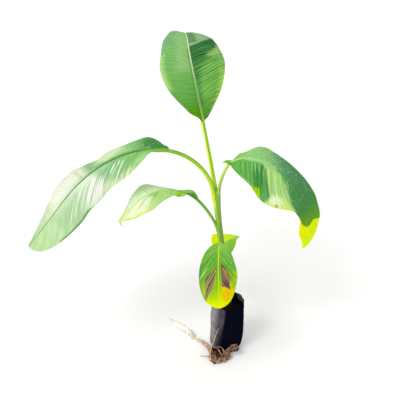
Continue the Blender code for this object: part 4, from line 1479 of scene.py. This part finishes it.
def make_soil(material):
    """Near black, painted-shade top of the soil: uneven, with loose crumbs, bits of bark and grit."""
    rng = np.random.default_rng(410)
    angles = even_angles(120)
    reach = soil_reach(angles)
    shift = bag_axis(SOIL_TOP) * [1, 0, 0]
    rows = [flat_ring(angles, radius, height=SOIL_BASE + 0.002) for radius in (0.002, reach)]
    rows += [on_soil(angles, reach, share) for share in np.linspace(1.0, 0.03, 46)]
    rows = np.array(rows) + shift
    skin = Skin()
    skin.add(rows, srgb(*SOIL_SHADE_TINT), rows, (0, 0, 1, 0.5))
    for i in range(CRUMBS):
        share = np.sqrt(rng.uniform(0.05, 0.93))
        angle = rng.uniform(0, 2 * pi)
        size = rng.uniform(0.0007, 0.0021)
        centre = on_soil(angle, reach.min(), share) + shift + [0, 0, 0.0002 + size * 0.3]
        radii = size * rng.uniform(0.7, 1.3, 3)
        tint = CRUMB_SHADE_TINTS[rng.integers(len(CRUMB_SHADE_TINTS))]
        add_lump(skin, centre, radii, tint, rng, slice_box(0.5, 1.0, i, CRUMBS, 0.0008))
    return mount(skin.finish("soil", material, radians(80)), "soil", "potting_soil")


def add_lump(skin, centre, radii, tint, rng, box, rows=6, sides=8):
    """Small closed lump, a little uneven."""
    angles = even_angles(sides) + rng.uniform(0, pi)
    rings = []
    for k in range(rows):
        polar = pi * (k + 0.35) / (rows - 0.3)
        radius = sin(polar) * (1 + 0.18 * rng.normal(size=sides).clip(-1, 1))
        rings.append(centre + flat_ring(angles, radius, height=-cos(polar)) * radii)
    rings = np.array(rings)
    skin.add(rings, srgb(*tint), rings, box)


# ---------------------------------------------------------------- roots

KNOT_CENTRE = np.array([-0.0185, -0.0500, 0.0115])
KNOT_RADII = np.array([0.0205, 0.0235, 0.0165])
FLOOR_CLEARANCE = 0.0006
HOOK_ROUTE = (
    (-0.012, -0.058, 0.014), (0.0015, -0.052, 0.0250), (0.0104, -0.048, 0.0325), (0.0200, -0.044, 0.0395),
    (0.0290, -0.042, 0.0355), (0.0325, -0.042, 0.0255), (0.0270, -0.043, 0.0185))
HOOK_HEAD = (0.0243, -0.0425, 0.0262)
WHISKER_ROUTE = ((-0.032, -0.056, 0.006), (-0.046, -0.047, 0.005), (-0.064, -0.042, 0.0020))
TRAIL_ROUTE = (
    (-0.036, -0.044, 0.019), (-0.0440, -0.021, 0.0145), (-0.057, 0.003, 0.0076), (-0.076, 0.026, 0.0028),
    (-0.090, 0.054, 0.0026), (-0.113, 0.080, 0.0026), (-0.155, 0.106, 0.0020))
TRAIL_BRANCH = (
    (-0.072, 0.018, 0.0026), (-0.083, 0.024, 0.0024), (-0.096, 0.040, 0.0022), (-0.123, 0.066, 0.0015))
CLIMB_LOW = (0.036, radians(-142))
CLIMB_HIGH = (0.086, radians(-121))
CLIMB_FOOT = (                      # it comes up the knot's front left side
    (-0.0364, -0.0690, 0.0130), (-0.0376, -0.0660, 0.0210), (-0.0370, -0.0560, 0.0310))
# Roots that arch over the knot, and lumps along its foot, chosen one by one.
ARCHES = (
    (((-0.030, -0.036, 0.022), (-0.026, -0.043, 0.031), (-0.018, -0.050, 0.0315), (-0.012, -0.059, 0.025),
      (-0.007, -0.065, 0.014)), 0.0013),
    (((-0.020, -0.041, 0.030), (-0.012, -0.046, 0.0345), (-0.006, -0.050, 0.030), (-0.002, -0.055, 0.021),
      (0.003, -0.059, 0.011)), 0.0014),
    (((-0.036, -0.034, 0.022), (-0.039, -0.044, 0.0245), (-0.0385, -0.054, 0.021), (-0.037, -0.062, 0.012),
      (-0.033, -0.067, 0.005)), 0.0018),
    (((-0.038, -0.056, 0.012), (-0.028, -0.066, 0.014), (-0.016, -0.068, 0.016), (-0.004, -0.064, 0.013),
      (0.006, -0.058, 0.008)), 0.0022),
    (((-0.037, -0.058, 0.006), (-0.028, -0.066, 0.006), (-0.018, -0.0655, 0.008), (-0.008, -0.065, 0.007),
      (0.004, -0.058, 0.006)), 0.0022),
    (((-0.012, -0.062, 0.022), (-0.002, -0.056, 0.0215), (0.007, -0.050, 0.021),
      (0.014, -0.046, 0.026)), 0.0014),
)
LUMPS = (
    ((0.0030, -0.0520, 0.0150), 0.0060, (122, 90, 70)),
    ((0.0095, -0.0500, 0.0110), 0.0052, (140, 108, 88)),
    ((-0.0370, -0.0600, 0.0150), 0.0050, (158, 124, 102)),
    # The next three lumps, near black, are painted shade in gaps among the roots.
    ((-0.0290, -0.0400, 0.0230), 0.0050, (62, 36, 30)),
    ((-0.0270, -0.0700, 0.0045), 0.0030, (60, 36, 30)),
    ((0.0020, -0.0620, 0.0085), 0.0028, (40, 26, 22)),
    ((-0.0345, -0.0620, 0.0085), 0.0050, (150, 116, 92)),
    ((-0.0262, -0.0665, 0.0060), 0.0052, (84, 56, 48)),
    ((-0.0130, -0.0620, 0.0110), 0.0046, (110, 80, 62)),
    ((-0.0030, -0.0640, 0.0070), 0.0050, (158, 126, 100)),
    ((0.0065, -0.0560, 0.0080), 0.0048, (124, 92, 72)),
)
# Painted shade: the core shows dark between the strands, and the cavity is a dark lump.
KNOT_CORE_SHADE_TINT = (50, 28, 22)
KNOT_STRANDS = 34
KNOT_TINTS = ((104, 74, 58), (140, 108, 86), (78, 50, 40), (176, 146, 120))
KNOT_CAVITY_SHADE = (np.array([-0.0262, -0.0560, 0.0205]), np.array([0.0062, 0.0080, 0.0090]), (88, 50, 36))
ARCH_TINT = (150, 118, 94)
PALE_TINTS = ((196, 168, 146), (218, 196, 176), (232, 216, 198), (238, 224, 208))


def curve(route, steps):
    return smooth(np.array(route), shares(steps))


def frames(points):
    """Sides and normals along a line, carried on without twist."""
    normal = np.array([0.02, 0.03, 1.0])
    sides, normals = [], []
    for tangent in unit(np.gradient(points, axis=0)):
        side = unit(np.cross(tangent, normal))
        normal = np.cross(side, tangent)
        sides.append(side)
        normals.append(normal)
    return np.array(sides), np.array(normals)


def add_strand(skin, points, radii, tint, seed, box, sides=8, rough=0.16):
    """Root along the points: its thickness swells and its tint wanders by a seeded rule."""
    side, normal = frames(points)
    share = shares(len(points))
    along = run_lengths(points)[:, None]
    radius = level(radii, share)[:, None] * (1 + rough * clouds(along, 0.006, seed))[:, None]
    angles = even_angles(sides)
    cosines = np.cos(angles)[:, None]
    sines = np.sin(angles)[:, None]
    shape = (len(points), sides)
    flat = np.concatenate([
        np.broadcast_to(along[..., None] / 0.004, (*shape, 1)),
        np.broadcast_to(np.concatenate([cosines, sines], -1), (*shape, 2))], -1)
    bumps = 1 + rough * 0.7 * clouds(flat, 1.0, seed + 1)
    ring = side[:, None] * cosines + normal[:, None] * sines
    rows = points[:, None] + ring * (radius * bumps)[..., None]
    raise_to(rows, 0.0002)
    tints = ramp(np.atleast_2d(tint), share) * (1 + 0.35 * clouds(along, 0.02, seed + 2))[:, None]
    tints = np.clip(tints, 0, 1)[:, None]
    grain = np.stack([np.broadcast_to(angles * 0.002, shape), np.broadcast_to(along, shape),
                      np.full(shape, float(seed % 97))], -1)
    skin.add(rows, tints, grain, box)


def add_bundle(skin, points, spread, radii, tint, seed, count, low, high, twist):
    """Several strands that wind round one line."""
    side, normal = frames(points)
    share = shares(len(points))
    for i in range(count):
        turn = 2 * pi * (i / count + twist * share) + 0.6 * clouds(share[:, None], 0.4, seed + i)
        away = side * np.cos(turn)[:, None] + normal * np.sin(turn)[:, None]
        strand = points + away * level(spread, share)[:, None]
        raise_to(strand, 0.0012)
        box = slice_box(low, high, i, count, 0.9 * (high - low) / count)
        add_strand(skin, strand, radii, tint, seed + 20 + i, box)


def add_hairs(skin, points, count, reach, tint, seed, low, high):
    """Fine side roots that leave a root at a slant, low over the floor."""
    rng = np.random.default_rng(seed)
    side, _ = frames(points)
    for i in range(count):
        k = rng.integers(1, len(points) - 2)
        ahead = unit(points[min(k + 3, len(points) - 1)] - points[k])
        out = side[k] * rng.choice([-1, 1]) * rng.uniform(0.4, 1.1) + ahead * rng.uniform(-0.2, 1.1)
        length = reach * rng.uniform(0.4, 1.3)
        bend = side[k] * rng.normal() * 0.3 + np.array([0, 0, rng.uniform(-0.1, 0.25)])
        share = shares(6)[:, None]
        hair = points[k] + out * length * share + bend * length * share ** 2
        raise_to(hair, 0.0006)
        box = slice_box(low, high, i, count, 0.0006)
        add_strand(skin, hair, (0.00035, 0.00012), tint, seed + i, box, sides=4)


def make_knot(material):
    """Mass of roots at the foot: a core in painted shade, winding strands, arches and lumps."""
    rng = np.random.default_rng(500)
    skin = Skin()
    angles = even_angles(48)
    rings = []
    for polar in np.linspace(0.06, pi - 0.06, 34):
        direction = flat_ring(angles, sin(polar), height=-cos(polar))
        lump = 0.76 + 0.06 * clouds(direction, 0.9, 501) + 0.03 * clouds(direction, 0.4, 502)
        rings.append(KNOT_CENTRE + direction * KNOT_RADII * lump[:, None])
    rows = np.array(rings)
    raise_to(rows, FLOOR_CLEARANCE)
    skin.add(rows, srgb(*KNOT_CORE_SHADE_TINT), rows, (0, 0, 1, 0.2))
    share = shares(26)
    for i in range(KNOT_STRANDS):
        start = rng.uniform(0.05 * pi, 0.95 * pi)
        turn = rng.uniform(-0.9, 0.9)
        bearing = -start + turn * share + 0.25 * clouds(share[:, None], 0.5, 510 + i)
        rise = rng.uniform(-0.2, 1.2) - rng.uniform(0.6, 1.8) * share
        rise = rise + 0.2 * clouds(share[:, None], 0.4, 560 + i)
        direction = flat_ring(bearing, np.cos(rise), height=np.sin(rise))
        points = KNOT_CENTRE + direction * (KNOT_RADII + rng.uniform(-0.0046, -0.0008))
        raise_to(points, 0.0016)
        thick = rng.uniform(0.0009, 0.0019)
        box = slice_box(0.22, 0.58, i, KNOT_STRANDS, 0.009)
        add_strand(skin, points, (thick, thick * 0.7), KNOT_TINTS[i % 4], 600 + i, box)
    for i, (route, radius) in enumerate(ARCHES):
        box = slice_box(0.60, 0.75, i, len(ARCHES), 0.02)
        add_strand(skin, curve(route, 40), (radius, radius * 1.15, radius), ARCH_TINT, 700 + i, box)
    for i, (centre, size, tint) in enumerate(LUMPS):
        box = slice_box(0.76, 0.96, i, len(LUMPS), 0.03)
        add_lump(skin, np.array(centre), np.full(3, size), tint, rng, box, rows=14, sides=18)
    # A dark lump as painted shade in the knot's cavity.
    centre, radii, tint = KNOT_CAVITY_SHADE
    add_lump(skin, centre, radii, tint, rng, (0, 0.965, 1, 0.99), rows=12, sides=14)
    # Painted shade: the tints darken deeper inside the knot and lighten on its outside.
    for part, tint in zip(skin.points, skin.tints):
        raise_to(part, GAP)
        depth = np.linalg.norm((part - KNOT_CENTRE) / KNOT_RADII, axis=1)
        tint *= (0.56 + 0.66 * step(0.80, 1.02, depth))[:, None]
    return mount(skin.finish("root_mass", material), "root", "root_knot")


def make_hook(material):
    skin = Skin()
    points = curve(HOOK_ROUTE, 90)
    add_bundle(skin, points, (0.0026, 0.0022, 0.0019, 0.0018), (0.0011, 0.0011, 0.0010),
               (142, 112, 90), 720, 4, 0, 0.8, twist=1.0)
    # A dark lump under the loops: painted shade between them.
    add_lump(skin, np.array(HOOK_HEAD), np.array([0.0070, 0.0060, 0.0076]), (44, 27, 22),
             np.random.default_rng(730), (0, 0.96, 1, 1.0), rows=12, sides=16)
    loops = ((-0.0056, 0.0056), (-0.0036, 0.0074), (-0.0012, 0.0088), (0.0014, 0.0090), (0.0040, 0.0080),
             (0.0062, 0.0062))
    for i, (shift, size) in enumerate(loops):
        turn = np.linspace(0.10 * pi, 1.30 * pi, 30)
        loop = np.stack([HOOK_HEAD[0] + shift + 0.45 * size * np.cos(turn),
                         HOOK_HEAD[1] - 0.0058 + 0.1 * size * np.cos(turn + 1),
                         HOOK_HEAD[2] + 0.001 + size * np.sin(turn)], -1)
        box = slice_box(0.82, 0.952, i, len(loops), 0.02)
        tint = ((168, 140, 114), (84, 56, 46))[i % 2]
        add_strand(skin, loop, (0.0007, 0.0009, 0.0006), tint, 740 + i, box)
    return mount(skin.finish("hooked_root", material), "root", "root_hook")


def make_whisker(material):
    skin = Skin()
    points = curve(WHISKER_ROUTE, 30)
    tints = ((140, 104, 84), (180, 150, 122), (196, 168, 140))
    add_strand(skin, points, (0.0036, 0.0022, 0.0012, 0.0008, 0.0006), tints, 750, (0, 0, 1, 0.5))
    add_hairs(skin, points, 14, 0.006, (200, 176, 148), 751, 0.6, 0.95)
    return mount(skin.finish("whisker_root", material), "root_pale", "root_whisker")


def make_climbing_root(material):
    height, bearing = np.linspace(CLIMB_LOW, CLIMB_HIGH, 50).T
    reach = between(BAG_OUTLINE, height, 1) + bag_relief(bearing, height) + 0.0014
    points = bag_axis(height) + flat_ring(bearing, reach)
    points = np.concatenate([curve((*CLIMB_FOOT, points[0]), 26)[:-1], points])
    skin = Skin()
    add_strand(skin, points, (0.0019, 0.0017, 0.0012, 0.0006), (206, 184, 146), 760, (0, 0, 1, 1),
               rough=0.10)
    return mount(skin.finish("climbing_root", material), "root_pale", "root_climbing")


def make_trailing_root(material):
    """Pale root that lies on the floor behind the bag's left side, forked and hairy."""
    skin = Skin()
    points = curve(TRAIL_ROUTE, 120)
    add_bundle(skin, points[:70], (0.0042, 0.0040, 0.0022, 0.0007), (0.0015, 0.0012, 0.0006),
               PALE_TINTS[:3], 770, 5, 0, 0.2, twist=2.0)
    add_strand(skin, points, (0.0020, 0.0016, 0.0011, 0.0007), PALE_TINTS, 780, (0, 0.22, 1, 0.3))
    add_hairs(skin, points[4:44] + [0, 0, 0.003], 190, 0.009, (216, 194, 174), 795, 0.402, 0.448)
    branch = curve(TRAIL_BRANCH, 60)
    add_strand(skin, branch, (0.0011, 0.0008, 0.0004), (234, 216, 196), 781, (0, 0.32, 1, 0.4))
    add_hairs(skin, points[12:80], 150, 0.010, (222, 198, 174), 790, 0.45, 0.8)
    add_hairs(skin, branch, 36, 0.007, (232, 212, 192), 791, 0.82, 0.98)
    return mount(skin.finish("trailing_root", material), "root_pale", "root_trailing")


# ---------------------------------------------------------------- stage

def make_floor():
    half = FLOOR_SIZE / 2
    mesh = bpy.data.meshes.new("floor")
    corners = [(-half, -half, 0), (half, -half, 0), (half, half, 0), (-half, half, 0)]
    mesh.from_pydata(corners, [], [(0, 1, 2, 3)])
    finish = Finish("floor_paper", 0.9, 0.0)
    finish.shader.inputs["Base Color"].default_value = (0.95, 0.95, 0.95, 1.0)
    finish.shader.inputs["Emission Color"].default_value = (1.0, 1.0, 1.0, 1.0)
    finish.shader.inputs["Emission Strength"].default_value = FLOOR_GLOW
    mesh.materials.append(finish.material)
    floor = place_object("floor", mesh)


def make_light():
    world = bpy.data.worlds.new("studio")
    world.use_nodes = True
    background = world.node_tree.nodes["Background"]
    background.inputs["Color"].default_value = (1.0, 1.0, 1.0, 1.0)
    background.inputs["Strength"].default_value = SKY_STRENGTH
    bpy.context.scene.world = world
    lamp = bpy.data.lights.new("sun", "SUN")
    lamp.energy = SUN_STRENGTH
    lamp.angle = SUN_SPREAD
    lamp.color = (1.0, 0.985, 0.96)
    level_share = cos(SUN_ELEVATION)
    towards = Vector((
        level_share * cos(SUN_BEARING), level_share * sin(SUN_BEARING), sin(SUN_ELEVATION)))
    sun = place_object("sun", lamp)
    sun.rotation_euler = towards.to_track_quat("Z", "Y").to_euler()


def make_camera():
    camera_data = bpy.data.cameras.new("camera")
    camera_data.sensor_width = CAMERA_SENSOR
    camera_data.lens = CAMERA_LENS
    camera = place_object("camera", camera_data)
    back = Vector((0.0, -cos(CAMERA_ELEVATION), sin(CAMERA_ELEVATION)))
    camera.location = CAMERA_TARGET + back * CAMERA_DISTANCE
    camera.rotation_euler = (pi / 2 - CAMERA_ELEVATION, 0.0, 0.0)
    bpy.context.scene.camera = camera


# ---------------------------------------------------------------- the plant

def make_plant():
    leaf = leaf_finish("leaf_green", 0.42)
    old_leaf = leaf_finish("leaf_old", 0.50)
    stalk = stalk_finish("stalk_green", 0.42)
    make_stem(stalk)
    slots = {"left_low": "leaf_pale", "front": "leaf_old", "back": "leaf_old"}
    leaves = (top_leaf(), left_leaf(), right_leaf(), left_low_leaf(), front_leaf(), back_leaf())
    for number, each in enumerate(leaves):
        slot = slots.get(each.name, "leaf")
        make_blade(each, 1000 * (number + 1), old_leaf if slot == "leaf_old" else leaf, slot)
        make_stalk(each, stalk)
    make_bag(bag_finish())
    make_soil(earth_finish("soil_crumbs", 0.9, 260.0, 0.0006))
    root = earth_finish("root_bark", 0.75, 320.0, 0.0003)
    pale_root = earth_finish("root_pale_bark", 0.7, 320.0, 0.0002)
    make_knot(root)
    make_hook(root)
    make_whisker(pale_root)
    make_climbing_root(pale_root)
    make_trailing_root(pale_root)


bpy.context.scene.view_settings.view_transform = "Standard"
make_camera()
make_light()
make_floor()
make_plant()
